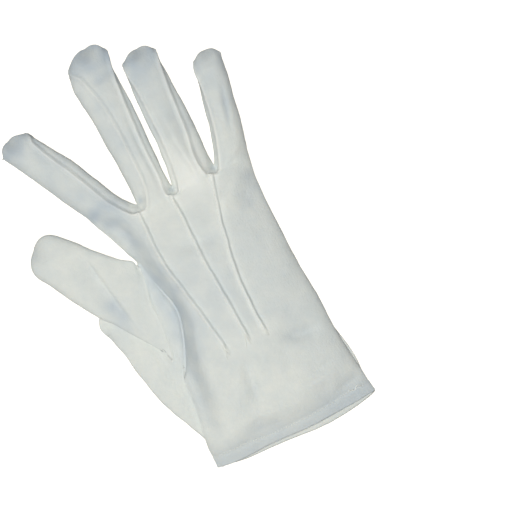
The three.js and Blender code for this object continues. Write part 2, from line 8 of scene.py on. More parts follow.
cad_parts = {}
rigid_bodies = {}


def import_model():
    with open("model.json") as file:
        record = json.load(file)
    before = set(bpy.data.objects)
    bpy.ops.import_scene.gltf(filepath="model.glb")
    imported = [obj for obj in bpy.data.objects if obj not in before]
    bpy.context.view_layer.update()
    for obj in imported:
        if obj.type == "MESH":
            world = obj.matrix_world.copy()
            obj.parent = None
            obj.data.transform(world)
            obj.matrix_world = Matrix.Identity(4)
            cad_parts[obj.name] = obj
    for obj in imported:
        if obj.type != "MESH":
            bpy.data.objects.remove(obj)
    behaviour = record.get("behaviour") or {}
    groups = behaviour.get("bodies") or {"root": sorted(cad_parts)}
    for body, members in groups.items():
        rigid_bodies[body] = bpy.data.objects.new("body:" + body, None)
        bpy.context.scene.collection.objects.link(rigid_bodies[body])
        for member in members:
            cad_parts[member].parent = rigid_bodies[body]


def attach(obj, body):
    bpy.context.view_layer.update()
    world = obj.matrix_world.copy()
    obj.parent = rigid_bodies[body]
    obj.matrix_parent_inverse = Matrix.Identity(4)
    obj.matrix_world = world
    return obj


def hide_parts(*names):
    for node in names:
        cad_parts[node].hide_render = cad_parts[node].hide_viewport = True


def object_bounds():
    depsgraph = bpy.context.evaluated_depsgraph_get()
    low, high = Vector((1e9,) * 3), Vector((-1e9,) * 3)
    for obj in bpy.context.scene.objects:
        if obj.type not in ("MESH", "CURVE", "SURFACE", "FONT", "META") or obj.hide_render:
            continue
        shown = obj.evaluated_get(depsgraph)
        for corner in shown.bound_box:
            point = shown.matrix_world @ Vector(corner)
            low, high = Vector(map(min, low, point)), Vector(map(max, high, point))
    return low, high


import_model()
cad_low, cad_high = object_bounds()

# Cut of the hand
# The back and the palm are each cut from flat cotton jersey in one piece with four finger shapes. The
# tables hold the sewn glove's sections as it lies on its palm, in millimetres: x from the palm's middle
# line, y from the mouth, z from the table.
def table(names, *rows):
    """Rows of values by name. A row may leave out its last ones."""
    return [dict(zip(names.split(), row)) for row in rows]


MOUTH_Y = -3.0
MOUTH_ROLL = 1.0  # radius of the folded edge at the mouth
HOLE_START, HOLE_END = 64, 118  # the thumb hole
VALLEY = 0.12  # share of the height by which the back dips towards the fingers' parting
VALLEY_START = 116
FIRST_POINT, LAST_POINT = 3, 5  # the three raised rows among the back's anchors
POINT_HEIGHTS = (0.97, 1.0, 0.95)  # of the raised rows, as shares of the crown's height
SHOULDER_IN, SHOULDER_HIGH = 9, 0.68  # where the back turns down beside the little finger
SIDE_HIGH = 0.4  # height of the little finger's side, as a share
SIDE_SEAM_IN, SIDE_SEAM_Z = 3, 1.3  # the seam under that side
NEAR_SEAM = 0.12  # share of a lane at which the palm's cloth has left the seam
LOOSE = 4  # width of the flap from which its upper layer lies loose
HAND = table(
    "y seam edge crest points right high flap flap_z",
    (-3, (-48, 3), (-49.2, 6.4), (-38, 12.2), (-15, 0, 15), 48.4, 13.4, -47, 2),
    (9, (-47.4, 3), (-48.8, 6.6), (-36, 12.8), (-15, 0, 14), 47.4, 14.2, -47, 2),
    (20, (-45.6, 3.4), (-47.7, 7), (-33, 13.8), (-14.5, 0, 13), 46.4, 15.2, -49.6, 3),
    (35, (-43, 3.8), (-45, 7.6), (-30, 15), (-14, 0, 12), 45.6, 16.4, -56.2, 3.6),
    (50, (-41.6, 4.8), (-43.2, 8.4), (-28, 16), (-13, 0, 10.5), 45, 17.4, -61, 3.6),
    (64, (-36, 8.2), (-33, 12.2), (-26, 16.8), (-14.2, 0, 10), 44.6, 18.2, -63.8, 3.5),
    (76, (-31, 10), (-28.4, 13.8), (-22.5, 17), (-15.8, -0.3, 10.3), 44.2, 18.6, -65.7, 3.4),
    (88, (-28.4, 10.8), (-26, 14.2), (-21.5, 17), (-17.6, -0.6, 11), 44.2, 18.4, -68.5, 3.4),
    (100, (-30.6, 10), (-27, 13.4), (-22, 16.4), (-19.6, -1.2, 12.8), 44.2, 17.8, -71.2, 3.4),
    (110, (-33.4, 8), (-30, 11.6), (-24.4, 15.4), (-21.2, -1.2, 15), 44.3, 16.8, -61.5, 3.4),
    (118, (-34.4, 6.2), (-33, 9.8), (-26.6, 14.2), (-21.8, -1, 16.6), 44.6, 16, -36.4, 3.4),
    (130, (-37.6, 3), (-38.6, 6.4), (-32, 12), (-21.6, -0.6, 20), 45.4, 14.8, -38, 2),
    (143, (-41.4, 1.6), (-44.2, 5.6), (-37, 11.4), (-21, -0.9, 24), 47.3, 13.8, -41.8, 1.2),
)
THUMB_HOLE = table(
    "y upper lower",
    (64, (-42.6, 5.4), (-42.6, 5.4)),
    (76, (-40.4, 10), (-43.2, 4.2)),
    (88, (-39, 11.4), (-43, 4)),
    (98, (-39, 11.2), (-42.4, 4)),
    (109, (-37, 8.6), (-40, 4.2)),
    (118, (-35, 5), (-35, 5)),
)


def ease(t):
    t = np.clip(t, 0, 1)
    return t * t * (3 - 2 * t)


def ramp(value, start, end):
    """Rises softly from 0 at the start to 1 at the end."""
    return ease((value - start) / (end - start))


def lerp(a, b, t):
    return a + (b - a) * t


def curve(places, values, at):
    """Values at some places on the smooth curve through a list of places and values."""
    places, values, at = (np.asarray(v, float) for v in (places, values, at))
    last = len(places) - 1
    low, high = np.maximum(np.arange(last + 1) - 1, 0), np.minimum(np.arange(last + 1) + 1, last)
    run = (places[high] - places[low]).reshape((-1,) + (1,) * (values.ndim - 1))
    slope = (values[high] - values[low]) / run
    i = np.clip(np.searchsorted(places, at, side="right") - 1, 0, last - 1)
    span = places[i + 1] - places[i]
    t = (at - places[i]) / span
    shape = at.shape + (1,) * (values.ndim - 1)
    span, t = span.reshape(shape), t.reshape(shape)
    bend = span * t * (1 - t) * ((1 - t) * slope[i] - t * slope[i + 1])
    return lerp(values[i], values[i + 1], t * t * (3 - 2 * t)) + bend


def row_at(rows, places, at):
    return {name: curve(places, [row[name] for row in rows], at) for name in rows[0]}


def row_at_y(rows, y):
    return row_at(rows, [row["y"] for row in rows], y)


def through(anchors, at):
    """Points on the smooth curve through anchor points, counted from 0 at the first."""
    steps = np.maximum(np.linalg.norm(np.diff(anchors, axis=0), axis=1), 1e-6)
    places = np.concatenate([[0], np.cumsum(steps)])
    at = np.asarray(at, float)
    k = np.minimum(at.astype(int), len(anchors) - 2)
    return curve(places, anchors, lerp(places[k], places[k + 1], at - k))


# Columns of the cloth between two anchors: fine beside a raised row or a seam, given in millimetres
# from it, and evenly spread over the rest.
FINE = np.array([0, 0.3, 0.6, 0.9, 1.2, 1.55, 2.0, 2.6])


def columns(reach, fine_start, fine_end, even):
    share = FINE / max(reach, FINE[-1] * 2.6)
    start = share if fine_start else share[:1]
    end = (1 - share[::-1]) if fine_end else np.ones(1)
    return np.concatenate([start, np.linspace(start[-1], end[0], even + 2)[1:-1], end])


def spread(anchors, lane):
    """Places along the anchors for a lane of cloth: a list of (fine_start, fine_end, even)."""
    places = []
    for k, (fine_start, fine_end, even) in enumerate(lane):
        reach = np.linalg.norm(anchors[k + 1] - anchors[k])
        cut = k + columns(reach, fine_start, fine_end, even)
        places.append(cut if k == 0 else cut[1:])
    return np.concatenate(places)


# For each finger's share of the back, its first anchor and its lanes (fine start, fine end, even columns)
BACK_LANES = {
    "index": (0, [(True, False, 2), (False, False, 8), (False, True, 9)]),
    "middle": (3, [(True, True, 8)]),
    "ring": (4, [(True, True, 12)]),
    "little": (5, [(True, False, 17), (False, False, 9), (False, False, 6)]),
}
PARTING_Y = HAND[-1]["y"]


def back_anchors(y):
    r = row_at_y(HAND, y)
    high, right = float(r["high"]), r["right"]
    crown = high * (1 - VALLEY * ramp(y, VALLEY_START, PARTING_Y))
    points = [(x, y, crown * share) for x, share in zip(r["points"], POINT_HEIGHTS)]
    return np.array([
        *[(r[name][0], y, r[name][1]) for name in ("seam", "edge", "crest")],
        *points,
        (right - SHOULDER_IN, y, high * SHOULDER_HIGH),
        (right, y, high * SIDE_HIGH),
        (right - SIDE_SEAM_IN, y, SIDE_SEAM_Z),
    ])


PARTINGS = back_anchors(PARTING_Y)[FIRST_POINT:LAST_POINT + 1]
SHORT_SIDE = [0, 0.4, 1, 1.4, 1.8, 2.2, 2.6, 3, 3.6, 4]
PALM_COLUMNS = {
    "little": [0, 0.5, 1, 1.5, 2, 2.3, 2.6, 3, 3.35, 3.7, 4],
    "ring": SHORT_SIDE,
    "middle": SHORT_SIDE,
    "index": [*SHORT_SIDE[:8], 3.5, 4, 4.25, 4.5, 4.75, 5, 5.25, 5.5, 5.75, 6, 6.2, 6.4, 6.6, 6.8, 7,
              7.2, 7.4, 7.6, 7.8, 8],
}
STRIP_COLUMNS = 9
roll_rows = MOUTH_Y + MOUTH_ROLL * (1 - np.cos(np.linspace(0, math.pi / 2, 5)))
hand_rows = np.concatenate([
    roll_rows,
    np.linspace(roll_rows[-1], HOLE_START, 56)[1:],
    np.linspace(HOLE_START, HOLE_END, 46)[1:],
    np.linspace(HOLE_END, PARTING_Y, 22)[1:],
])
hand_count = len(hand_rows)
in_hole = (hand_rows >= HOLE_START - 1e-6) & (hand_rows <= HOLE_END + 1e-6)


def palm_section(y):
    """The palm's lanes over one section of the hand, and the strip beside the thumb hole."""
    r = row_at_y(HAND, y)
    first, second, third = r["points"]
    right = float(r["right"])
    seam = np.array([r["seam"][0], y, r["seam"][1]])
    flap = np.array([r["flap"], y, r["flap_z"] * 0.5])
    loose = float(np.clip(seam[0] - flap[0], 0, LOOSE))
    turn_z = lerp(lerp(flap[2], seam[2], 0.3), float(r["flap_z"]), loose / LOOSE)
    turn = np.array([flap[0] + loose * 0.3, y, turn_z])
    joined = lerp(turn, seam, 0.8)
    joined[2] = lerp(turn[2], seam[2], 0.5)
    hole = row_at_y(THUMB_HOLE, np.clip(y, HOLE_START, HOLE_END))
    near_hole = ramp(y, HOLE_START - 8, HOLE_START) * ramp(y, HOLE_END + 6, HOLE_END)
    upper, lower = (lerp(joined, np.array([hole[rim][0], y, hole[rim][1]]), near_hole)
                    for rim in ("upper", "lower"))
    on_flap = lerp(turn, lower, 0.5)
    on_flap[2] = lerp(turn[2], lower[2], 0.3)

    def floor(start, end, shares):
        return [(lerp(start, end, t), y, 0) for t in shares]

    bends = [0, NEAR_SEAM, 0.5, 1 - NEAR_SEAM, 1]
    turned_up = right - 2 * SIDE_SEAM_IN
    anchors = {
        "little": [(right - SIDE_SEAM_IN, y, SIDE_SEAM_Z), (turned_up, y, 0.2),
                   *floor(turned_up, third, bends[2:])],
        "ring": floor(third, second, bends),
        "middle": floor(second, first, bends),
        "index": [*floor(first, flap[0] + 4, [0, NEAR_SEAM, 0.5, 1]), (flap[0] + 1.2, y, 0.3),
                  flap, turn, on_flap, lower],
    }
    lanes = {name: through(np.array(a, float), PALM_COLUMNS[name]) for name, a in anchors.items()}
    lanes["strip"] = lerp(upper, seam, np.linspace(0, 1, STRIP_COLUMNS)[:, None])
    return lanes


hand_anchors = [back_anchors(y) for y in hand_rows]
palm_sections = [palm_section(y) for y in hand_rows]


def hand_lane(name):
    first, lane = BACK_LANES[name]
    rows = []
    for anchors in hand_anchors:
        places = first + spread(anchors[first:first + len(lane) + 1], lane)
        rows.append(through(anchors, places))
    return rows


# Cut of the fingers
# A finger has the back's jersey above and the palm's below. At its sides are the fourchettes, forked
# strips that run from one finger down to the parting and up the next, so that the seams lie on top.
WAIST = 0.45  # height of a finger's widest line, as a share of its thickness
CROTCH_WAIST = 6.0  # the same between two fingers, in millimetres
ROUNDNESS = 2.3  # exponent of a finger's upper side, 2 for an ellipse
FLATNESS = 4.0  # the same for its underside, which lies flat
UNDER_INSET = 0.16  # where the seams under a finger run, as a share of its width
CREST_INSET = 0.28  # where the back's cloth has turned over a finger's outer side
OUTER_SEAM_Z = 1.6
SEAMS_MEET = 0.62  # share of the tip at which a fourchette ends in a point
TIP_BLUNTNESS = 2.6
ROOT_ROWS = 1.5  # rows of the table over which a finger leaves the hand's form
FINGERS = {
    "index": dict(tip=(-67.6, 214.6), rows=table(
        "left_out right right_out high",
        ((-44.2, 143), (-21, 143), (-20, 149.5), 13),
        ((-46.4, 149), (-27, 147.8), (-22, 152), 12.8),
        ((-49.6, 157), (-33.5, 157.5), (-27.5, 160), 12.6),
        ((-54, 166), (-38.2, 168.5), (-33, 173), 12.4),
        ((-59.6, 177), (-43.4, 180.5), (-38.4, 185), 12.4),
        ((-65.6, 189), (-49.6, 193), (-44, 195.4), 12.2),
        ((-71.2, 200), (-54.6, 205), (-51, 206.4), 12),
    )),
    "middle": dict(tip=(-5.4, 240.2), rows=table(
        "left_out left right right_out high",
        ((-20, 149.5), (-21, 143), (-0.9, 143), (2, 149), 13.6),
        ((-20.4, 152), (-14.6, 146.8), (-3.4, 147), (1.6, 151.4), 13.4),
        ((-20.4, 160), (-11, 158), (-2.4, 158), (2, 160), 13.2),
        ((-20.4, 174), (-10.2, 174), (-2, 174), (2.8, 174), 13),
        ((-21, 191), (-10, 191), (-0.8, 191), (3.8, 191), 12.8),
        ((-21.8, 208), (-11.2, 208), (1, 208), (4.2, 208), 12.6),
        ((-22.8, 221), (-14.4, 222), (2.4, 222), (3.4, 222), 12.4),
    )),
    "ring": dict(tip=(20, 226.6), rows=table(
        "left_out left right right_out high",
        ((2, 149), (-0.9, 143), (24, 143), (28, 149.4), 13.4),
        ((2.2, 151.6), (5, 146), (20.8, 147.4), (28, 151.8), 13.2),
        ((3, 159), (7.7, 158), (20.4, 158), (28.2, 159), 13),
        ((4.4, 171), (8.8, 171), (22.8, 171), (29.2, 171), 12.8),
        ((5.4, 187), (9.6, 187), (24.4, 187), (29.6, 187), 12.6),
        ((6.2, 202), (9.8, 202), (26, 202), (29.2, 202), 12.4),
        ((7.4, 213.6), (8.8, 213.6), (27.6, 213.6), (28.8, 213.6), 12.2),
    )),
    "little": dict(tip=(53.4, 208), rows=table(
        "left_out left right_out high",
        ((28, 149.4), (24, 143), (47.3, 143), 13),
        ((29.4, 152), (29.8, 145.6), (48.8, 149), 12.4),
        ((32.4, 159.4), (35.2, 157.8), (50.8, 156.6), 12),
        ((35.4, 169.6), (38.4, 168.8), (53.4, 166.6), 11.8),
        ((38, 181), (40.8, 180.4), (56, 178), 11.6),
        ((41.2, 193), (42.4, 192.6), (58.4, 190), 11.4),
        ((42.6, 199.4), (43, 199.2), (59.6, 197.6), 11.2),
    )),
}
FINGER_NAMES = list(FINGERS)
ACROSS_PALM = ([0, 1, 2, 3, 4], [0, NEAR_SEAM, 0.5, 1 - NEAR_SEAM, 1])
FOURCHETTE_LOWER = np.linspace(0, 1, 7)[::-1] ** 1.6
FOURCHETTE_UPPER = np.linspace(0, 1, 13)[1:] ** 1.3
FINGER_ROWS = np.linspace(0, 6, 61)
TIP_ROWS = np.sin(np.linspace(0, math.pi / 2, 15))[1:]


def bow(u, exponent):
    return (1 - np.abs(np.clip(u, -1, 1)) ** exponent) ** (1 / exponent)


def lifted(plan, z):
    return np.concatenate([plan, np.broadcast_to(z, np.shape(plan)[:-1])[..., None]], axis=-1)


class FingerSection:
    """One section of a finger: where its pieces meet and its height over the plan."""

    def __init__(self, name, at, tip=0.0):
        rows = FINGERS[name]["rows"]
        row = row_at(rows, range(len(rows)), at)
        order = FINGER_NAMES.index(name)
        self.name = name
        self.high = float(row["high"])
        self.waist = self.high * WAIST
        self.root = ease(1 - at / ROOT_ROWS)
        self.left_out = np.array([*row["left_out"], self.waist])
        self.right_out = np.array([*row["right_out"], self.waist])
        before = PARTINGS[order - 1] if order > 0 else None
        after = PARTINGS[order] if order < len(PARTINGS) else None
        self.left = self.side(self.left_out, self.right_out, row.get("left"), before, at, tip)
        self.right = self.side(self.right_out, self.left_out, row.get("right"), after, at, tip)
        self.shrink = bow(tip, TIP_BLUNTNESS)
        self.middle = lerp(self.left_out, self.right_out, 0.5)
        self.centre = lerp(self.middle, np.array([*FINGERS[name]["tip"], self.waist]), tip)

    def side(self, outline, far, seam_plan, parting, at, tip):
        meet = ease(tip / SEAMS_MEET)
        inset = UNDER_INSET * (1 - min(tip / SEAMS_MEET, 1) ** 3)
        under = self.on_underside(lerp(outline, far, inset))
        out = outline.copy()
        if parting is None:
            under[2] = lerp(OUTER_SEAM_Z, under[2], ease(at / 2))
            crest = self.on_top(lerp(out, far, CREST_INSET))
            return dict(out=out, under=lerp(under, out, meet), seam=crest)
        out[2] = lerp(out[2], CROTCH_WAIST, self.root)
        seam = lerp(np.array([*seam_plan, 0]), outline * (1, 1, 0), meet)
        seam[2] = lerp(self.on_top(seam)[2], parting[2], self.root)
        under = lerp(lerp(under, parting * (1, 1, 0), self.root), out, meet)
        return dict(out=out, under=under, seam=seam)

    def across(self, place):
        span = (self.right_out - self.left_out)[:2]
        return 2 * ((place[..., :2] - self.left_out[:2]) @ span / (span @ span)) - 1

    def on_top(self, place):
        z = self.waist + (self.high - self.waist) * bow(self.across(place), ROUNDNESS)
        return lifted(place[..., :2], z)

    def on_underside(self, place):
        return lifted(place[..., :2], self.waist * (1 - bow(self.across(place), FLATNESS)))

    def settle(self, points):
        return (points - self.middle) * self.shrink + self.centre

    def roof(self, t):
        t = np.asarray(t)[:, None]
        place = lerp(self.left["seam"], self.right["seam"], t)
        place[:, 2] = lerp(self.on_top(place)[:, 2], place[:, 2], self.root)
        return place

    def back(self):
        left, right = self.left, self.right
        lane = BACK_LANES[self.name][1]
        if self.name == "index":
            anchors = np.array([left["under"], left["out"], left["seam"], right["seam"]])
            at = spread(anchors, lane)
            points = np.concatenate([through(anchors, at[at < 2]), self.roof(at[at >= 2] - 2)])
        elif self.name == "little":
            anchors = np.array([left["seam"], right["seam"], right["out"], right["under"]])
            at = spread(anchors, lane)
            points = np.concatenate([self.roof(at[at < 1]), through(anchors, at[at >= 1])])
        else:
            points = self.roof(spread(np.array([left["seam"], right["seam"]]), lane))
        return self.settle(points)

    def palm(self):
        at = np.array(PALM_COLUMNS[self.name])
        t = np.interp(at, *ACROSS_PALM)[:, None]
        edge = lerp(self.right["under"], self.left["under"], t)
        points = self.on_underside(edge)
        points[:, 2] = np.where((t[:, 0] > 0) & (t[:, 0] < 1), points[:, 2], edge[:, 2])
        return self.settle(points)

    def fourchette(self, side):
        lower = lerp(side["out"], side["under"], FOURCHETTE_LOWER[:, None])
        upper = lerp(side["out"], side["seam"], FOURCHETTE_UPPER[:, None])
        low_z, up_z = self.on_underside(lower)[:, 2], self.on_top(upper)[:, 2]
        lower[1:-1, 2] = lerp(low_z, lower[:, 2], self.root)[1:-1]
        upper[:-1, 2] = lerp(up_z, upper[:, 2], self.root)[:-1]
        return self.settle(np.concatenate([lower, upper]))


def finger_sections(name):
    last = len(FINGERS[name]["rows"]) - 1
    shaft = [FingerSection(name, at) for at in FINGER_ROWS]
    return shaft + [FingerSection(name, last, tip) for tip in TIP_ROWS]


sections = {name: finger_sections(name) for name in FINGER_NAMES}

# Cut of the thumb
# The thumb is a tube of jersey, sewn into the oval hole in the palm and closed at its tip. The table
# holds its sections past the hole's rim.
THUMB_ROUNDNESS = 2.5
THUMB_ROWS = 61
THUMB = dict(tip=(-83.6, 153.6), rows=table(
    "inner outer floor high",
    ((-37.4, 121.8), (-51, 76.5), 4, 14.4),
    ((-42.4, 127), (-59.4, 89.6), 4, 14.4),
    ((-48.4, 133.4), (-66.6, 101), 3.9, 13.8),
    ((-54.6, 140.4), (-73.6, 112.6), 2, 13.2),
    ((-59.8, 147), (-79.4, 123), 0.3, 12.6),
    ((-65.6, 153.6), (-84.8, 134), 0, 12.2),
))


def thumb_rows():
    rims = np.nonzero(in_hole)[0]
    along = (hand_rows[rims] - HOLE_START) / (HOLE_END - HOLE_START)
    upper_rim = np.array([palm_sections[k]["strip"][0] for k in rims])
    lower_rim = np.array([palm_sections[k]["index"][-1] for k in rims])
    u = -np.cos(along * math.pi)
    rows = THUMB["rows"]

    def ring(upper, lower):
        return np.concatenate([upper, lower[1:-1][::-1], upper[:1]])

    def section(at, tip):
        r = row_at(rows, range(len(rows)), at)
        low, high = float(r["floor"]), float(r["high"])
        waist = lerp(low, high, WAIST)
        outer, inner = np.array([*r["outer"], waist]), np.array([*r["inner"], waist])
        middle = lerp(outer, inner, 0.5)
        centre = lerp(middle, np.array([*THUMB["tip"], waist]), tip)

        def side(height, exponent):
            place = lerp(outer, inner, ((u + 1) / 2)[:, None])
            place[:, 2] = waist + height * bow(u, exponent)
            return (place - middle) * bow(tip, TIP_BLUNTNESS) + centre

        return ring(side(high - waist, THUMB_ROUNDNESS), side(low - waist, FLATNESS))

    last = len(rows) - 1
    anchors = np.array([ring(upper_rim, lower_rim)] + [section(at, 0) for at in range(last + 1)])
    shaft = curve(range(last + 2), anchors, np.linspace(0, last + 1, THUMB_ROWS))
    return [*shaft, *[section(last, tip) for tip in TIP_ROWS]]


# Sewing
# The cut pieces are joined edge to edge: points that lie at the same place become one, so that folds
# and raised seams run over the whole glove without a break. Every patch remembers its piece.
SAME_PLACE = 2e-3  # millimetres


class Patch:
    def __init__(self, piece, rows):
        self.piece = piece
        self.points = np.array([np.asarray(r) for r in rows])
        across = np.linalg.norm(np.diff(self.points, axis=1), axis=2)
        along = np.linalg.norm(np.diff(self.points, axis=0), axis=2)
        self.u = np.concatenate([np.zeros((len(rows), 1)), np.cumsum(across, axis=1)], axis=1)
        middle = self.points.shape[1] // 2
        self.u -= self.u[:, middle:middle + 1]
        run = np.concatenate([[0], np.cumsum(along[:, middle])])
        self.v = np.repeat(run[:, None], self.points.shape[1], axis=1)


def joined_rows(hand, fingers, roots):
    """Rows of the hand, then a finger's, which leave the hand's last row and ease to their own form."""
    step = hand[-1] - fingers[0]
    return hand + [row + step * root for row, root in zip(fingers[1:], roots[1:])]


patches = []
for finger in FINGER_NAMES:
    roots = [s.root for s in sections[finger]]
    backs = [s.back() for s in sections[finger]]
    palms = [s.palm() for s in sections[finger]]
    patches.append(Patch("back_panel", joined_rows(hand_lane(finger), backs, roots)))
    patches.append(Patch("palm_panel", joined_rows([p[finger] for p in palm_sections], palms, roots)))
back_patches = dict(zip(FINGER_NAMES, patches[0::2]))
palm_patches = dict(zip(FINGER_NAMES, patches[1::2]))
strip_patch = Patch("palm_panel", [p["strip"] for p in palm_sections])
patches.append(strip_patch)
fourchette_patches = {}
for left, right in zip(FINGER_NAMES, FINGER_NAMES[1:]):
    down = [s.fourchette(s.right) for s in sections[left]][::-1]
    up = [s.fourchette(s.left) for s in sections[right]][1:]
    fourchette_patches[left, right] = Patch(f"fourchette_{left}_{right}", down + up)
patches += fourchette_patches.values()
thumb_patch = Patch("thumb", thumb_rows())
patches.append(thumb_patch)

all_points = np.concatenate([p.points.reshape(-1, 3) for p in patches])
cells = np.round(all_points / SAME_PLACE).astype(np.int64)
_, first_of, index_of = np.unique(cells, axis=0, return_index=True, return_inverse=True)
index_of = index_of.reshape(-1)
skin = all_points[first_of]
start = 0
for patch in patches:
    shape = patch.points.shape[:2]
    count = shape[0] * shape[1]
    patch.ids = index_of[start:start + count].reshape(shape)
    start += count


def patch_faces(patch):
    """Corners of a patch's faces as (row, column), turned outwards, without repeated points."""
    ids = patch.ids
    faces = []
    for j in range(ids.shape[0] - 1):
        for k in range(ids.shape[1] - 1):
            ring = [(j, k), (j, k + 1), (j + 1, k + 1), (j + 1, k)]
            corners = []
            for place in ring:
                if not corners or ids[place] not in [ids[c] for c in corners]:
                    corners.append(place)
            if len(corners) >= 3:
                faces.append(corners)
    return faces


for patch in patches:
    patch.faces = patch_faces(patch)

faces = [[patch.ids[c] for c in face] for patch in patches for face in patch.faces]
quads = np.array([f if len(f) == 4 else [*f, f[2]] for f in faces])
corner_pairs = np.concatenate([quads[:, [k, (k + 1) % 4]] for k in range(4)])
corner_pairs = corner_pairs[corner_pairs[:, 0] != corner_pairs[:, 1]]
edge_set, edge_uses = np.unique(np.sort(corner_pairs, axis=1), axis=0, return_counts=True)
border_points = np.unique(edge_set[edge_uses == 1])


def unit(vectors):
    return vectors / np.maximum(np.linalg.norm(vectors, axis=1, keepdims=True), 1e-12)


def normals_of(points):
    """Outward normals of the whole skin at its points, weighed by the square root of the faces' size."""
    a, b, c, d = (points[quads[:, k]] for k in range(4))
    normal = np.cross(c - a, d - b)
    length = np.maximum(np.linalg.norm(normal, axis=1, keepdims=True), 1e-12)
    total = np.zeros_like(points)
    for k in range(4):
        np.add.at(total, quads[:, k], normal / length * np.sqrt(length))
    return unit(total)


NEAREST = 0.15  # neighbours nearer than this pull no harder


def relaxed(points, rounds, strength, held):
    """Smooths the skin along its normals, with near neighbours counting most."""
    points = points.copy()
    i, j = edge_set.T
    for _ in range(rounds):
        normal = normals_of(points)
        weight = 1 / np.maximum(np.linalg.norm(points[i] - points[j], axis=1), NEAREST)
        pull = np.zeros_like(points)
        total = np.zeros(len(points))
        np.add.at(pull, i, (points[j] - points[i]) * weight[:, None])
        np.add.at(pull, j, (points[i] - points[j]) * weight[:, None])
        np.add.at(total, i, weight)
        np.add.at(total, j, weight)
        shift = pull / total[:, None]
        shift = normal * np.sum(shift * normal, axis=1, keepdims=True)
        shift[held] = 0
        points += strength * shift
        points[:, 2] = np.maximum(points[:, 2], 0)
    return points


SEWN_ROUNDS, PRESSED_ROUNDS, STRENGTH = 14, 90, 0.5
skin = relaxed(skin, SEWN_ROUNDS, STRENGTH, border_points)

# Lie of the empty glove
# Without a hand in it the sewn jersey flattens: least over the palm, more at the fingers, the thumb
# and the mouth. Beside the first raised row it drops steeply to the thumb.
PATH_STEPS = 40  # between two points of a path


def hump(distance, width):
    return np.exp(-(distance / width) ** 2)


def around(x, y, wide, long):
    return np.exp(-((skin[:, 0] - x) / wide) ** 2 - ((skin[:, 1] - y) / long) ** 2)


def plan_distance(place):
    return np.linalg.norm(skin[:, :2] - place, axis=1)


def distance_to_path(plan, path):
    """Distance in the plan to a bent line, right of it positive, and the share of it passed."""
    path = np.array(path, float)
    dense = curve(range(len(path)), path, np.linspace(0, len(path) - 1, PATH_STEPS * (len(path) - 1)))
    delta = plan[:, None, :] - dense[None, :, :]
    distance = np.sqrt((delta ** 2).sum(axis=2))
    k = distance.argmin(axis=1)
    rows = np.arange(len(plan))
    return distance[rows, k] * np.where(delta[rows, k, 0] > 0, 1, -1), k / (len(dense) - 1)


# Between the fingers the seams turn in a round bow
for x, y in PARTINGS[:, :2]:
    aside, ahead = skin[:, 0] - x, skin[:, 1] - y
    round_off = 0.9 * hump(aside, 1.8) - 0.6 * hump(np.abs(aside) - 4.2, 2.0)
    skin[:, 1] += round_off * hump(ahead - 1.5, 5.0)

# The thumb's root lies pressed against the hand, so its hollow is filled out
ROOT_LINE = [(-36, 113), (-38, 104), (-62, 90), (-52, 78), (-45, 66)]
ROOT_REACH = 14.0
root_line = curve(range(5), np.array(ROOT_LINE, float), np.linspace(0, 4, 40))
around_root = np.linalg.norm(skin[:, None, :2] - root_line, axis=2).min(axis=1)
pressed = relaxed(skin, PRESSED_ROUNDS, STRENGTH, border_points)
skin = lerp(skin, pressed, ease(1.5 * (1 - around_root / ROOT_REACH))[:, None])

FINGER_SINK, THUMB_SINK, MOUTH_SINK = 0.16, 0.2, 0.46  # shares of the height
of_thumb = np.isin(np.arange(len(skin)), thumb_patch.ids)
skin[:, 2] *= 1 - np.where(of_thumb, THUMB_SINK * ramp(skin[:, 0], -48, -64),
                           FINGER_SINK * ramp(skin[:, 1], 138, 164))
# The thumb's inner side closes up to the hand
closing = hump(plan_distance((-38, 121)), 4.0) * of_thumb
skin[:, :2] += closing[:, None] * (1.5, 1.0)

# Each tip's height at its end, as a share, and how much painted shade darkens it
TIPS = [("index", 0.2, 0.45), ("middle", 0.2, 0.75), ("ring", 0.2, 0.6), ("little", 0.45, 0.25),
        ("thumb", 0.55, 0.2)]
TIP_REACH, PAINTED_SHADE_TIP_REACH = 13.0, 26
painted_shade = np.zeros(len(skin))
tip_away = np.full(len(skin), 1e3)
for name, left, grey in TIPS:
    away = plan_distance(FINGERS.get(name, THUMB)["tip"])
    painted_shade += grey * ease(1 - away / PAINTED_SHADE_TIP_REACH)
    tip_away = np.minimum(tip_away, away)
    skin[:, 2] *= left + (1 - left) * np.sin(np.clip(away / TIP_REACH, 0, 1) * math.pi / 2) ** 0.9
skin[:, 2] *= 1 - MOUTH_SINK * ramp(skin[:, 1], 15, -4)

# Left of the first raised row the cloth drops to the index finger's root and the thumb
FLANK_TOP = [(-39, 168), (-33, 154), (-26, 142.5), (-23.5, 130), (-23, 116), (-21.5, 100), (-20.5, 84),
             (-24, 70), (-28, 56), (-31.5, 42), (-35, 28), (-39, 14)]
FLANK_WIDE, FLANK_DROP, FLANK_PAINTED_SHADE = 11.0, 0.46, 0.52
beside = (skin[:, 0] < -12) & (skin[:, 2] > 2) & (skin[:, 1] < 185)
flank = np.nonzero(beside & ((skin[:, 0] > -50) | of_thumb))[0]
off, passed = distance_to_path(skin[flank, :2], FLANK_TOP)
ends = ease(passed / 0.12) * ease((1 - passed) / 0.4)
on_thumb = of_thumb[flank]
over_thumb = ramp(skin[flank, 0], -72, -38) * ramp(skin[flank, 1], 148, 118)
ends *= np.where(on_thumb, over_thumb, 1)
slope = ease(-off / FLANK_WIDE) * ends
skin[flank, 2] *= 1 - FLANK_DROP * slope
# Painted shade darkens the slope below the first raised row, but not on the thumb
shaded = hump(off + 7.5, 8.0) * ease(passed / 0.06) * ease((1 - passed) / 0.4)
painted_shade[flank] += FLANK_PAINTED_SHADE * shaded * ~on_thumb
skin_normals = normals_of(skin)

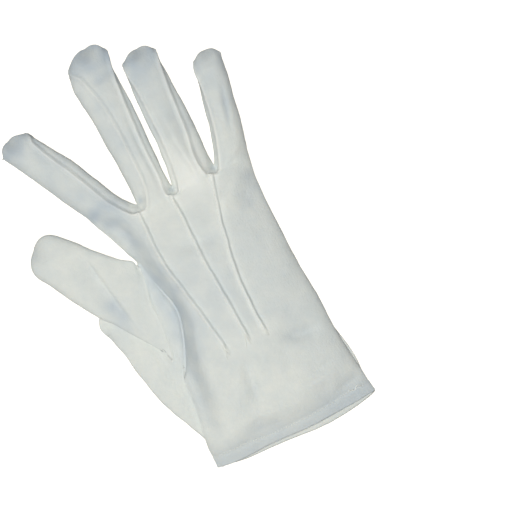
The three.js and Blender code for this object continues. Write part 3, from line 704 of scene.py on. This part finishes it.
# Points and seams
# Pieces are sewn right sides together, so the turnings push up a low welt along each seam, and the
# thread draws a fine groove in it. The three points are tucks, pinched up and stitched through.
POINTS_END = 52.0
POINT_RIB, POINT_HOLLOW, WELT, THUMB_WELT = 0.85, 0.42, 0.7, 0.58
POINT_REACH, SEAM_REACH = 8.0, 4.0
FAR = 9.0  # a distance past the form of every seam and point
PATH_FINE = 0.25


class Line:
    """A line on the skin: nearest distance and place along it for every point of the glove."""

    def __init__(self, ids, within):
        keep = [ids[0]]
        for k in ids[1:]:
            if k != keep[-1]:
                keep.append(k)
        self.ids = np.array(keep)
        path = skin[self.ids]
        self.run = np.concatenate([[0], np.cumsum(np.linalg.norm(np.diff(path, axis=0), axis=1))])
        steps = max(int(self.run[-1] / PATH_FINE), 2)
        places = np.linspace(0, self.run[-1], steps)
        fine = np.stack([np.interp(places, self.run, path[:, k]) for k in range(3)], axis=1)
        tree = kdtree.KDTree(steps)
        for k, p in enumerate(fine):
            tree.insert(p, k)
        tree.balance()
        self.distance = np.full(len(skin), 1e3)
        self.along = np.zeros(len(skin))
        self.side = np.zeros(len(skin))
        low, high = fine.min(axis=0) - within, fine.max(axis=0) + within
        near = np.nonzero(np.all((skin > low) & (skin < high), axis=1))[0]
        for p in near:
            _, k, distance = tree.find(skin[p])
            self.distance[p] = distance
            self.along[p] = places[k]
            self.side[p] = math.copysign(1, skin[p, 0] - fine[k, 0])


rise = np.zeros(len(skin))
thick_and_highlit = np.zeros(len(skin))
on_points = hand_rows >= POINTS_END - 4
point_lines = [Line(back_patches[name].ids[:hand_count, 0][on_points], POINT_REACH)
               for name in FINGER_NAMES[1:]]
for number, line in enumerate(point_lines):
    fade = ease((skin[:, 1] - POINTS_END) / 7)
    x = np.where(line.distance < POINT_REACH, line.distance * line.side, FAR)
    x = x + 0.1 * np.sin(line.along / 2.9 + number) + 0.06 * np.sin(line.along / 1.1)
    rib = POINT_RIB * ramp(x, -1.9, 0.1) * (1 - ramp(x, -0.1, 1.4))
    hollow = -POINT_HOLLOW * hump(x - 1.5, 1.1) - 0.14 * hump(x + 2.6, 1.3)
    pucker = 0.10 * np.sin(line.along * 2 * math.pi / 3.1 + number) * hump(line.distance, 2.4)
    rise += (rib + hollow + pucker) * fade
    # The rib's left slope is paler: its doubled cloth and a painted highlight
    thick_and_highlit = np.maximum(thick_and_highlit, 0.8 * hump(x + 0.7, 0.8) * fade)

seam_ids = []
for (left, right), patch in fourchette_patches.items():
    seam_ids.append((f"{left}_{right}_upper", patch.ids[:, -1]))
    seam_ids.append((f"{left}_{right}_lower", patch.ids[:, 0]))
seam_ids += [
    ("thumb_upper", strip_patch.ids[in_hole, 0]),
    ("thumb_lower", palm_patches["index"].ids[:hand_count][in_hole, -1]),
    ("side_thumb", back_patches["index"].ids[:, 0]),
    ("side_little", back_patches["little"].ids[:, -1]),
]
seam_lines = {name: Line(ids, SEAM_REACH) for name, ids in seam_ids}
tip_fade = ramp(tip_away, 5, 14)
root_fade = 1 - 0.85 * ramp(skin[:, 1], 98, 110)
for name, line in seam_lines.items():
    d = line.distance
    if name in ("side_thumb", "thumb_upper"):
        x = np.where(d < SEAM_REACH, d * line.side, FAR)
        welt = THUMB_WELT * ramp(x, -1.6, -0.1) * (1 - ramp(x, 0.2, 1))
        welt -= 0.35 * hump(x - 1.3, 0.7)
        welt *= root_fade
    else:
        welt = WELT * hump(d, 1.0) - 0.2 * hump(d - 2.2, 1.0)
    pucker = 0.06 * np.sin(line.along * 2 * math.pi / 2.3) * hump(d, 2.0)
    rise += (welt + pucker) * tip_fade
    # Along the welts the cloth is paler: partly its doubled turnings, partly a painted highlight
    paler = 0.35 if "thumb" in name else 1.0
    thick_and_highlit = np.maximum(thick_and_highlit, paler * hump(d, 0.75))

# Folds
# Soft folds that the cloth keeps from wearing and packing. Each has a path in the plan, its width on the
# left and on the right, its height above or below the cloth around it, and how much painted shade darkens
# it.
FOLDS = table(
    "path width high grey",
    ([(16.6, 208), (15.7, 183), (15.5, 167), (17.2, 150), (14, 138)], (2.4, 4.4), 2.3),
    ([(-1.5, 204), (-3, 178), (-3.4, 152), (-3.9, 136)], (1.3, 1.3), -0.9),
    ([(42.8, 181), (42.8, 164)], (1.6, 1.2), -0.6),
    ([(55, 194), (50.5, 180), (47.5, 169), (43, 153)], (1.8, 1.6), -0.9, 0.2),
    ([(-13, 218), (-3, 220.6), (9, 224)], (2.2, 2.2), -1.1, 0.2),
    ([(-18.5, 120), (-1.5, 115.4), (18.5, 112.4)], (4.2, 4.2), -1.7),
    ([(48, 153), (37, 139), (24.5, 129), (17, 118)], (5.0, 8.0), 2.4),
    ([(13.7, 48.5), (27, 44), (40, 43)], (3.6, 4.0), -2.2),
    ([(11, 19.2), (24, 21.6), (38, 24.2)], (1.6, 2.0), -0.8),
    ([(4, 19), (24, 17.4), (43, 19.2)], (3.4, 3.4), 1.3),
    ([(28, 8.6), (38, 9), (47, 11)], (3.2, 3.2), -1.5),
    ([(-29, 9.4), (-14, 7.5), (-2, 5)], (3.6, 4.4), -0.9, 0.15),
    ([(-24, 10.5), (-18, 12.5), (-11, 12)], (1.4, 1.4), -0.6),
    ([(-6.5, 53), (-9, 34), (-12.5, 15)], (3.5, 2.4), -1.5),
    ([(-14, 50), (-17, 34), (-21, 16)], (4.5, 4.5), 0.9),
    ([(-31, 80), (-35.5, 60), (-38, 40), (-42, 22), (-46, 10)], (3.5, 5.0), -2.0),
    ([(-26, 66), (-27, 44), (-31, 24)], (5, 5), 0.8),
    ([(-36, 119), (-42, 104), (-47.5, 86)], (3.0, 3.4), -0.3),
    ([(-62, 143), (-59, 134), (-57, 122), (-55, 108), (-53, 95), (-51, 81)], (9.0, 0.7), -2.0),
    ([(-61, 122), (-58, 108), (-56, 95), (-54, 82)], (6, 3.5), -0.3, 0.42),
    ([(47, 142), (38, 129), (29, 117)], (5, 9), -0.5, 0.5),
    ([(-38, 150), (-33, 139), (-29, 131)], (1.4, 1.4), -0.6),
    ([(-42, 148), (-38, 138), (-34, 131)], (1.3, 1.3), 0.5),
    ([(-33, 152), (-28, 143), (-25.5, 135)], (1.2, 1.2), 0.45),
)
FOLD_ENDS = 0.4  # share of a fold's length over which each end fades
upward = ramp(skin_normals[:, 2], -0.1, 0.5)
drop = np.zeros(len(skin))
for fold in FOLDS:
    path = np.array(fold["path"], float)
    reach = max(fold["width"]) * 3
    box = (skin[:, :2] > path.min(axis=0) - reach) & (skin[:, :2] < path.max(axis=0) + reach)
    near = np.nonzero(np.all(box, axis=1))[0]
    distance, place = distance_to_path(skin[near, :2], fold["path"])
    ends = ease(place / FOLD_ENDS) * ease((1 - place) / FOLD_ENDS)
    width = np.where(distance < 0, *fold["width"])
    form = hump(distance, width) * ends * upward[near]
    drop[near] += fold["high"] * form
    painted_shade[near] += fold.get("grey", 0) * form

# The cloth sinks into a small pocket in each parting, and painted shade darkens it
POCKETS = [(-17.1, 150.5), (0.4, 147.8), (26.4, 147.4)]
POCKET_WIDE, POCKET_DEEP, POCKET_PAINTED_SHADE = 1.9, 1.1, 0.5
for pocket in POCKETS:
    inside = hump(plan_distance(pocket), POCKET_WIDE)
    drop -= POCKET_DEEP * inside
    painted_shade += POCKET_PAINTED_SHADE * inside
# Painted highlight: the cloth is paler over the ring finger's root
thick_and_highlit = np.maximum(thick_and_highlit, 0.8 * around(12, 150, 12, 14))

# Painted shade: the cotton is drawn greyer in its folds, on the fingers and over the back of the hand
painted_shade += 0.08 * np.clip(-drop, 0, 2)
on_index = (skin[:, 0] < -24) & (skin[:, 1] > 138)
of_index, of_others = 0.34 * ramp(skin[:, 1], 138, 156), 0.26 * ramp(skin[:, 1], 158, 184)
painted_shade += np.where(of_thumb, 0, np.where(on_index, of_index, of_others))
painted_shade += 0.3 * around(-6, 86, 26, 30)

# Small rumples of the jersey by size, height and place in the noise, finer ones on the fingers
RUMPLES = [(19.0, 0.55, (0, 0, 0)), (8.0, 0.30, (9, 4, 2)), (3.4, 0.11, (3, 7, 1))]
rumple = np.zeros(len(skin))
# The same loop makes the painted shade uneven by noise
for k, p in enumerate(skin):
    painted_shade[k] *= 1 + 0.7 * noise.noise(Vector(p) / 7.0 + Vector((5, 1, 8)))
    rumple[k] = sum(high * noise.noise(Vector(p) / size + Vector(spot)) for size, high, spot in RUMPLES)
    rumple[k] += 0.12 * noise.noise(Vector((p[0] / 6.0, p[1] / 1.6, p[2] / 6.0))) * float(p[1] > 150)
rumple *= ease(tip_away / 14) * np.where(of_thumb, 0.5, 1.0)

# Mouth
# The jersey is turned in at the mouth and its hem sewn down. It isn't cut quite square, and the palm's
# edge shows past the back's. The tables hold the shift of the edge along y from place to place in x.
BACK_MOUTH = [(-49, 2.4), (-45, 1.8), (-41, 1.3), (-35, 0.9), (-18, 0.9), (-8, 0.2), (2.5, -0.7),
              (10, -1.1), (32, -1.0), (40, -0.8), (47, -0.2)]
PALM_MOUTH = [(-49, 2.6), (-45, 1.8), (-40, 0.5), (-31, -1.0), (-19, -1.6), (-9, -2.4), (2, -3.6),
              (9, -4.5), (19, -4.9), (31, -4.2), (40, -3.1), (45, -1.6), (49, -0.2)]
HEM_STITCHES = [(-43, 5.4), (-28.7, 4.9), (-14.5, 2.8), (-2, 2), (15.2, 1.7), (25.3, 2.2), (35.6, 3.1),
                (43.5, 2.4)]


def along_x(pairs):
    return np.interp(skin[:, 0], *np.array(pairs).T)


under_side = ramp(skin[:, 2], 4.5, 2.5)
shift = lerp(along_x(BACK_MOUTH), along_x(PALM_MOUTH), under_side)
skin[:, 1] += shift * ramp(skin[:, 1], 26, 0)

# The hem is doubled, and its stitching pulls in a shallow groove
above_hem = skin[:, 1] - along_x(HEM_STITCHES)
rise += 0.3 * (1 - ramp(above_hem, 0.2, 1.4)) - 0.7 * hump(above_hem, 0.75) * upward
# Painted shade darkens the hem, and the right side of the back above it
painted_shade += 0.46 * ramp(above_hem, 10, -5)
painted_shade += 0.16 * ramp(skin[:, 0], 10, 26) * ramp(skin[:, 1], 130, 110)

# Beside the little finger's side the palm's turning sticks out under the back's edge
LIP_OUT, LIP_UP, LIP_WIDE, LIP_OUT_LESS = 3.9, 3.4, 5.4, 1.8  # it sticks out less at the mouth
cuff_side = ramp(skin[:, 1], 56, 22)
right_side = np.interp(skin[:, 1], [row["y"] for row in HAND], [row["right"] for row in HAND])
skin[:, 0] -= 0.6 * ramp(skin[:, 0] - right_side, -8, -2) * cuff_side
lip = ease(1 - seam_lines["side_little"].distance / LIP_WIDE) * cuff_side
skin[:, 0] += (LIP_OUT - LIP_OUT_LESS * ramp(skin[:, 1], 20, 4)) * lip
skin[:, 2] += LIP_UP * lip * ramp(skin[:, 1], 2, 22)


def rolled_in(y):
    """How far the folded edge has turned in at a distance along the cut cloth."""
    rolled = np.clip(MOUTH_ROLL - (y - MOUTH_Y), 0, MOUTH_ROLL)
    return MOUTH_ROLL - np.sqrt(MOUTH_ROLL ** 2 - rolled ** 2)


row_y = np.full(len(skin), 99.0)
for patch in patches[:-1]:
    if len(patch.ids) >= hand_count and patch.piece in ("back_panel", "palm_panel"):
        row_y[patch.ids[:hand_count]] = hand_rows[:, None]
on_floor = ramp(skin[:, 2], 0.2, 1.7)
outward = unit(skin_normals * (1, 0, 1))
skin = skin + skin_normals * ((rise + rumple) * on_floor)[:, None] - outward * rolled_in(row_y)[:, None]
skin[:, 2] += drop * on_floor
skin[:, 2] = np.maximum(skin[:, 2], 0)
skin_normals = normals_of(skin)

# Cotton
# Bleached cotton jersey: fine yarn knitted in upright columns of small loops (wales), soft and matt,
# with a short nap, thin enough that light comes through it at its edges.
WALE, COURSE = 0.85, 0.75  # millimetres between loops, drawn coarser than real so that they show
STREAK = 9  # courses over which a wale keeps its height
# The paler colour is for doubled cloth and painted highlights, the greyest one for painted shade
COTTON_LIGHT, COTTON_SHADE, COTTON_THICK_AND_HIGHLIT, COTTON_PAINTED_SHADE = "#e7eae4", "#d9dfdd", "#f4f6f0", "#bfcad2"


def linear(code):
    """An sRGB hex value as linear red, green, blue and alpha."""
    parts = [int(code[k:k + 2], 16) / 255 for k in (1, 3, 5)]
    return (*[c / 12.92 if c <= 0.04045 else ((c + 0.055) / 1.055) ** 2.4 for c in parts], 1.0)


def add(tree, kind, settings=(), links=()):
    """Adds a node, sets its properties or input values by name and links its inputs."""
    node = tree.nodes.new(kind)
    for name, value in dict(settings).items():
        if isinstance(name, str) and hasattr(node, name):
            setattr(node, name, value)
        else:
            node.inputs[name].default_value = value
    for name, socket in dict(links).items():
        tree.links.new(socket, node.inputs[name])
    return node


def set_inputs(node, values):
    for name, value in values.items():
        node.inputs[name].default_value = value


def cotton_jersey(name):
    material = bpy.data.materials.new(name)
    material.use_nodes = True
    tree = material.node_tree
    shader = tree.nodes["Principled BSDF"]
    uv = add(tree, "ShaderNodeUVMap", {"uv_map": "cloth"})
    place = add(tree, "ShaderNodeTexCoord")
    clouds = add(tree, "ShaderNodeTexNoise", {"Scale": 60.0, "Detail": 6.0, "Roughness": 0.72},
                 {"Vector": place.outputs["Object"]})
    patchy = add(tree, "ShaderNodeMapRange", {"From Min": 0.3, "From Max": 0.7},
                 {"Value": clouds.outputs["Fac"]})
    shade_to_light = {"data_type": "RGBA", 6: linear(COTTON_SHADE), 7: linear(COTTON_LIGHT)}
    tint = add(tree, "ShaderNodeMix", shade_to_light, {0: patchy.outputs["Result"]})
    # Doubled cloth and painted highlights are paler; painted shade is greyer
    for amount, colour in (("layers_and_highlights", COTTON_THICK_AND_HIGHLIT), ("painted_shade", COTTON_PAINTED_SHADE)):
        where = add(tree, "ShaderNodeAttribute", {"attribute_name": amount})
        tint = add(tree, "ShaderNodeMix", {"data_type": "RGBA", 7: linear(colour)},
                   {0: where.outputs["Fac"], 6: tint.outputs[2]})
    streaks = add(tree, "ShaderNodeMapping", {"Scale": (1 / WALE, 1 / (STREAK * COURSE), 1)},
                  {"Vector": uv.outputs["UV"]})
    wales = add(tree, "ShaderNodeTexNoise", {"Scale": 1.0, "Detail": 2.0},
                {"Vector": streaks.outputs["Vector"]})
    loops = add(tree, "ShaderNodeMapping", {"Scale": (1 / WALE, 1 / COURSE, 1)},
                {"Vector": uv.outputs["UV"]})
    pebbles = add(tree, "ShaderNodeTexNoise", {"Scale": 0.55, "Detail": 3.0, "Roughness": 0.65},
                  {"Vector": loops.outputs["Vector"]})
    high = add(tree, "ShaderNodeMath", {"operation": "MULTIPLY_ADD", 1: 0.4},
               {0: wales.outputs["Fac"], 2: pebbles.outputs["Fac"]})
    bump = add(tree, "ShaderNodeBump", {"Strength": 0.55, "Distance": 0.0004},
               {"Height": high.outputs["Value"]})
    tree.links.new(tint.outputs[2], shader.inputs["Base Color"])
    tree.links.new(bump.outputs["Normal"], shader.inputs["Normal"])
    set_inputs(shader, {
        "Roughness": 0.95,
        "Specular IOR Level": 0.15,
        "Sheen Weight": 0.03,
        "Sheen Roughness": 0.6,
        "Subsurface Weight": 0.15,
        "Subsurface Radius": (1.0, 0.85, 0.7),
        "Subsurface Scale": 0.0015,
    })
    return material


cotton = cotton_jersey("bleached_cotton_jersey")

# Back panel
# The upper jersey of the hand and the fingers, in one piece, with the three points. It is sewn to the
# palm panel at both sides and to the fourchettes between the fingers.
MILLIMETRE = 0.001
OUTLINE_MIDDLE = np.array([-14.3, 118.6, 0.0])  # the frame's origin in the tables' measure
WALL = 0.9  # thickness of the jersey with its nap
OFF_TABLE = 0.05  # least height of the inner face


def in_frame(points):
    return (np.asarray(points) - OUTLINE_MIDDLE) * MILLIMETRE


def new_mesh(name, points, edges, faces):
    mesh = bpy.data.meshes.new(name)
    mesh.from_pydata(in_frame(points).tolist(), edges, faces)
    mesh.shade_smooth()
    return mesh


def place_object(name, data):
    placed = bpy.data.objects.new(name, data)
    bpy.context.scene.collection.objects.link(placed)
    return placed


def cloth_piece(name, own):
    """A piece of the skin as a closed sheet: outer face, inner face and the cut edge between them."""
    used = np.unique(np.concatenate([p.ids.ravel() for p in own]))
    place_of = {int(k): n for n, k in enumerate(used)}
    count = len(used)
    outer = skin[used]
    inner = outer - skin_normals[used] * WALL
    inner[:, 2] = np.maximum(inner[:, 2], OFF_TABLE)
    faces, uvs = [], []
    for patch in own:
        for face in patch.faces:
            faces.append([place_of[int(patch.ids[c])] for c in face])
            uvs.append([(patch.u[c], patch.v[c]) for c in face])
    directed = {}
    for face, uv in zip(faces, uvs):
        for k, a in enumerate(face):
            directed[a, face[(k + 1) % len(face)]] = (uv[k], uv[(k + 1) % len(face)])
    rims, rim_uvs = [], []
    for (a, b), (uv_a, uv_b) in directed.items():
        if (b, a) not in directed:
            rims.append([a, a + count, b + count, b])
            rim_uvs.append([uv_a, uv_a, uv_b, uv_b])
    backs = [[k + count for k in face[::-1]] for face in faces]
    back_uvs = [uv[::-1] for uv in uvs]
    points = np.concatenate([outer, inner])
    mesh = new_mesh(name, points, [], faces + backs + rims)
    layer = mesh.uv_layers.new(name="cloth")
    flat_uvs = np.array([c for face in uvs + back_uvs + rim_uvs for c in face], np.float32)
    layer.data.foreach_set("uv", flat_uvs.ravel())
    rim_edges = {tuple(sorted((f[0], f[3]))) for f in rims}
    sharp = mesh.attributes.new("sharp_edge", "BOOLEAN", "EDGE")
    sharp.data.foreach_set("value", [tuple(sorted(e.vertices)) in rim_edges for e in mesh.edges])
    # The paler tint marks doubled cloth and painted highlights, the grey tint painted shade
    for tint, values in (("layers_and_highlights", thick_and_highlit), ("painted_shade", painted_shade)):
        layer = mesh.attributes.new(tint, "FLOAT", "POINT")
        layer.data.foreach_set("value", np.tile(np.clip(values[used], 0, 1), 2).astype(np.float32))
    mesh.materials.append(cotton)
    return place_object(name, mesh)


def dress(piece, *nodes, cut=None):
    """The frame's calls for a piece. Its cut, the flat cloth's width, length and area, is not used."""
    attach(piece, "root")
    if nodes:
        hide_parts(*nodes)


back = cloth_piece("back_cloth", list(back_patches.values()))
dress(back, "back_panel", cut=(150, 246, 20600))

# Palm panel
# The under jersey of the hand and the fingers. It wraps round to the side seam by the thumb, keeps a
# loose flap there, and has the hole that the thumb is sewn into.
palm = cloth_piece("palm_cloth", [*palm_patches.values(), strip_patch])
dress(palm, "palm_panel", cut=(165, 250, 22300))

# Fourchettes
# Three forked strips of the same jersey, one between each two neighbouring fingers, pointed at both
# ends. Each is given its length and its area.
FOURCHETTE_WIDE = 22
FOURCHETTE_CUT = {"index": (190, 2700), "middle": (188, 2150), "ring": (156, 1750)}
for (left, right), patch in fourchette_patches.items():
    strip = cloth_piece(f"fourchette_cloth_{left}_{right}", [patch])
    dress(strip, f"fourchette_{left}_{right}", cut=(FOURCHETTE_WIDE, *FOURCHETTE_CUT[left]))

# Thumb
# A tube of the same jersey, closed at its tip, whose open end is sewn to the rim of the palm's hole.
thumb = cloth_piece("thumb_cloth", [thumb_patch])
dress(thumb, "thumb", cut=(76, 82, 5300))

# Hem
# The jersey's edge, folded inwards at the mouth and held by the hem's stitches. Each row of the ring
# is a distance from the fold and a depth inside the panels' outer face.
HEM_END = 5.0  # the panels' rows up to here carry the hem
HEM = [(0.0, 1.0), (0.3, 1.65), (1.0, 1.95), (4.0, 2.0), (7.4, 1.95), (7.6, 1.5), (7.4, 1.05),
       (4.0, 1.0), (1.2, 1.0)]


def mouth_loop(row):
    ids = [k for name in FINGER_NAMES for k in back_patches[name].ids[row]]
    ids += [k for name in FINGER_NAMES[::-1] for k in palm_patches[name].ids[row]]
    ids += list(strip_patch.ids[row])
    return ids


def ring_faces(rings, count, joined):
    """Faces between neighbouring rings of points. Joined, the last ring closes up to the first."""
    faces = []
    for j in range(rings if joined else rings - 1):
        ahead = (j + 1) % rings * count
        for k in range(count):
            after = (k + 1) % count
            faces.append([j * count + k, j * count + after, ahead + after, ahead + k])
    return faces


hem_rows = np.nonzero(hand_rows <= HEM_END)[0]
mouth = mouth_loop(0)
keep = [k for k, point in enumerate(mouth) if point != mouth[k - 1]]
hem_points = []
for length, depth in HEM:
    row = hem_rows[np.argmin(np.abs(hand_rows[hem_rows] - MOUTH_Y - length))]
    ids = np.array(mouth_loop(row))[keep]
    inward = unit(skin_normals[ids] * (1, 0, 1))
    base = skin[ids] - inward * (depth - rolled_in(hand_rows[row]))
    base[:, 1] += length - (hand_rows[row] - MOUTH_Y)
    base[:, 2] = np.maximum(base[:, 2], 0)
    hem_points.append(base)
hem_faces = ring_faces(len(HEM), len(keep), joined=True)
hem_mesh = new_mesh("hem_cloth", np.concatenate(hem_points), [], hem_faces)
hem_mesh.uv_layers.new(name="cloth")
hem_mesh.materials.append(cotton)
hem = place_object("hem_cloth", hem_mesh)
dress(hem, "cuff_hem", cut=(10, 222, 1600))

# Stitches
# White sewing thread, smoother than the jersey: a running stitch holds the hem, a finer one draws each
# point together, and loose ends lie on the cloth. It is drawn twice as thick as real, so that it shows.
THREAD = dict(thick=0.46, hem_pitch=1.6, hem_long=0.85, point_pitch=1.9, point_long=1.1)
THREAD_LIFT = dict(hem=0.2, point=0.0, tail=0.12)
POINT_STITCH_ASIDE = 0.9
TAIL_SIDES = 6
TAILS = [
    [(-13.4, 52.6), (-14.6, 57.5), (-13.2, 59.6), (-15.4, 51.2)],
    [(-0.3, 52.4), (-0.6, 58.6), (-2.0, 55.0), (-3.2, 52.0)],
    [(10.7, 52.2), (10.9, 55.8), (9.6, 52.6)],
    [(35, 4.2), (38, 2.4), (40.5, 4.2), (42.6, 2.8)],
]


def matt_material(name, colour, roughness):
    material = bpy.data.materials.new(name)
    material.use_nodes = True
    shader = material.node_tree.nodes["Principled BSDF"]
    set_inputs(shader, {"Base Color": linear(colour), "Roughness": roughness})
    return material


sewing_thread = matt_material("white_sewing_thread", "#e6e8e2", 0.7)
top_ids = np.unique(np.concatenate([p.ids.ravel() for p in back_patches.values()]))
top_ids = top_ids[skin_normals[top_ids, 2] > 0.3]
top_tree = kdtree.KDTree(len(top_ids))
for k, point in enumerate(top_ids):
    top_tree.insert((skin[point, 0], skin[point, 1], 0), k)
top_tree.balance()


def on_cloth(plan, lift):
    """Puts points given in the plan on the back of the glove."""
    placed = []
    for x, y in plan:
        near = top_tree.find_n((x, y, 0), 4)
        weights = [1 / (distance + 0.05) for _, _, distance in near]
        z = sum(skin[top_ids[k], 2] * w for (_, k, _), w in zip(near, weights)) / sum(weights)
        placed.append((x, y, z + lift))
    return np.array(placed)


def smooth_path(points, step):
    points = np.array(points, float)
    run = np.concatenate([[0], np.cumsum(np.linalg.norm(np.diff(points, axis=0), axis=1))])
    return curve(run, points, np.linspace(0, run[-1], max(int(run[-1] / step), 2)))


def stitch_tree():
    """Stitches along a line: short rods, one at each step, with slightly uneven aim."""
    tree = bpy.data.node_groups.new("running_stitch", "GeometryNodeTree")
    face = tree.interface
    face.new_socket("Geometry", in_out="INPUT", socket_type="NodeSocketGeometry")
    for name, value in (("Pitch", 0.0015), ("Stitch Length", 0.001), ("Thread", 0.0003)):
        socket = face.new_socket(name, in_out="INPUT", socket_type="NodeSocketFloat")
        socket.default_value = value
    face.new_socket("Geometry", in_out="OUTPUT", socket_type="NodeSocketGeometry")
    given = tree.nodes.new("NodeGroupInput")
    result = tree.nodes.new("NodeGroupOutput")
    line = add(tree, "GeometryNodeMeshToCurve", {}, {"Mesh": given.outputs["Geometry"]})
    steps = add(tree, "GeometryNodeResampleCurve", {"mode": "LENGTH"},
                {"Curve": line.outputs["Curve"], "Length": given.outputs["Pitch"]})
    tangent = add(tree, "GeometryNodeInputTangent")
    aim = add(tree, "FunctionNodeAlignRotationToVector", {"axis": "X"},
              {"Vector": tangent.outputs["Tangent"]})
    wander = add(tree, "FunctionNodeRandomValue", {"data_type": "FLOAT_VECTOR", "Seed": 5})
    wander.inputs[0].default_value = (-0.1, -0.1, -0.22)
    wander.inputs[1].default_value = (0.1, 0.1, 0.22)
    turned = add(tree, "FunctionNodeRotateRotation", {"rotation_space": "LOCAL"},
                 {"Rotation": aim.outputs["Rotation"], "Rotate By": wander.outputs["Value"]})
    size = add(tree, "ShaderNodeCombineXYZ", {},
               {"X": given.outputs["Stitch Length"], "Y": given.outputs["Thread"],
                "Z": given.outputs["Thread"]})
    rod = add(tree, "GeometryNodeMeshUVSphere", {"Segments": 8, "Rings": 6, "Radius": 0.5})
    rods = add(tree, "GeometryNodeInstanceOnPoints", {},
               {"Points": steps.outputs["Curve"], "Instance": rod.outputs["Mesh"],
                "Rotation": turned.outputs["Rotation"], "Scale": size.outputs["Vector"]})
    real = add(tree, "GeometryNodeRealizeInstances", {}, {"Geometry": rods.outputs["Instances"]})
    thread = add(tree, "GeometryNodeSetMaterial", {"Material": sewing_thread},
                 {"Geometry": real.outputs["Geometry"]})
    tree.links.new(thread.outputs["Geometry"], result.inputs["Geometry"])
    return tree


running_stitch = stitch_tree()


def stitches(name, points, kind):
    edges = [(k, k + 1) for k in range(len(points) - 1)]
    line = place_object(name, new_mesh(name, points, edges, []))
    modifier = line.modifiers.new("stitches", "NODES")
    modifier.node_group = running_stitch
    values = {"Pitch": THREAD[f"{kind}_pitch"], "Stitch Length": THREAD[f"{kind}_long"],
              "Thread": THREAD["thick"]}
    for item in running_stitch.interface.items_tree:
        if item.in_out == "INPUT" and item.name in values:
            modifier[item.identifier] = values[item.name] * MILLIMETRE
    evaluated = line.evaluated_get(bpy.context.evaluated_depsgraph_get())
    mesh = bpy.data.meshes.new_from_object(evaluated)
    line.modifiers.remove(modifier)
    line.data = mesh
    mesh.name = name
    mesh.shade_smooth()
    dress(line)


stitches("hem_stitches", on_cloth(smooth_path(HEM_STITCHES, 1.0), THREAD_LIFT["hem"]), "hem")
for number, line in enumerate(point_lines):
    path = skin[line.ids][skin[line.ids, 1] > POINTS_END + 3]
    path = smooth_path(path - (POINT_STITCH_ASIDE, 0, 0), 1.0)
    stitches(f"point_stitches_{number + 1}", on_cloth(path[:, :2], THREAD_LIFT["point"]), "point")


def thread_tail(name, plan):
    """A loose end of thread that lies on the cloth."""
    path = on_cloth(smooth_path(plan, 0.5), THREAD_LIFT["tail"])
    turn = np.linspace(0, 2 * math.pi, TAIL_SIDES + 1)[:-1]
    rings = []
    for k, point in enumerate(path):
        ahead = path[min(k + 1, len(path) - 1)] - path[max(k - 1, 0)]
        ahead /= np.linalg.norm(ahead)
        side = np.cross(ahead, (0, 0, 1))
        side /= np.linalg.norm(side)
        up = np.cross(side, ahead)
        rings.append([point + THREAD["thick"] / 2 * (side * math.cos(a) + up * math.sin(a)) for a in turn])
    faces = ring_faces(len(rings), TAIL_SIDES, joined=False)
    last = (len(rings) - 1) * TAIL_SIDES
    faces.append(list(range(TAIL_SIDES))[::-1])
    faces.append([last + k for k in range(TAIL_SIDES)])
    mesh = new_mesh(name, np.concatenate(rings), [], faces)
    mesh.materials.append(sewing_thread)
    dress(place_object(name, mesh))


for number, plan in enumerate(TAILS):
    thread_tail(f"thread_tail_{number + 1}", plan)

# Table, light and camera
# The glove lies on white paper under one softbox overhead. The paper glows white to the camera, and
# gives the cloth less light than that.
paper = matt_material("white_paper_sweep", "#8f8f8f", 0.9)
paper_shader = paper.node_tree.nodes["Principled BSDF"]
paper_shader.inputs["Emission Color"].default_value = linear("#fffaf0")
rays = add(paper.node_tree, "ShaderNodeLightPath")
seen = add(paper.node_tree, "ShaderNodeMapRange", {"To Min": 0.32, "To Max": 1.1},
           {"Value": rays.outputs["Is Camera Ray"]})
paper.node_tree.links.new(seen.outputs["Result"], paper_shader.inputs["Emission Strength"])
FLOOR_HALF, FLOOR_BELOW = 1.6, 0.0002
floor_z = min(cad_low[2], 0) - FLOOR_BELOW
corners = [(-1, -1), (1, -1), (1, 1), (-1, 1)]
floor_mesh = bpy.data.meshes.new("floor")
floor_mesh.from_pydata([(x * FLOOR_HALF, y * FLOOR_HALF, floor_z) for x, y in corners], [], [(0, 1, 2, 3)])
floor_mesh.materials.append(paper)
floor = place_object("floor", floor_mesh)

PHOTO_TURN = math.radians(-28)
PHOTO_MIDDLE = Vector((0.0390, -0.0252, 0.010))
PHOTO_WIDTH = 0.2816
camera_data = bpy.data.cameras.new("camera")
camera_data.lens = 100
camera_data.sensor_width = 36
camera_high = PHOTO_WIDTH * camera_data.lens / camera_data.sensor_width
camera = place_object("camera", camera_data)
camera.location = PHOTO_MIDDLE + Vector((0, 0, camera_high))
camera.rotation_euler = (0, 0, PHOTO_TURN)
bpy.context.scene.camera = camera

picture_right = Vector((math.cos(PHOTO_TURN), math.sin(PHOTO_TURN), 0))
picture_up = Vector((-math.sin(PHOTO_TURN), math.cos(PHOTO_TURN), 0))
softbox_place = PHOTO_MIDDLE + picture_right * -0.13 + picture_up * -0.09 + Vector((0, 0, 1.08))
softbox = bpy.data.lights.new("softbox_key", "AREA")
softbox.shape = "SQUARE"
softbox.size = 0.4
softbox.energy = 10.4
softbox.color = linear("#fffdf8")[:3]
lamp = place_object("softbox_key", softbox)
lamp.location = softbox_place
lamp.rotation_euler = (PHOTO_MIDDLE - softbox_place).to_track_quat("-Z", "Y").to_euler()

world = bpy.data.worlds.new("studio")
world.use_nodes = True
set_inputs(world.node_tree.nodes["Background"], {"Color": linear("#dde8ff"), "Strength": 0.09})
bpy.context.scene.world = world
bpy.context.scene.view_settings.view_transform = "Standard"
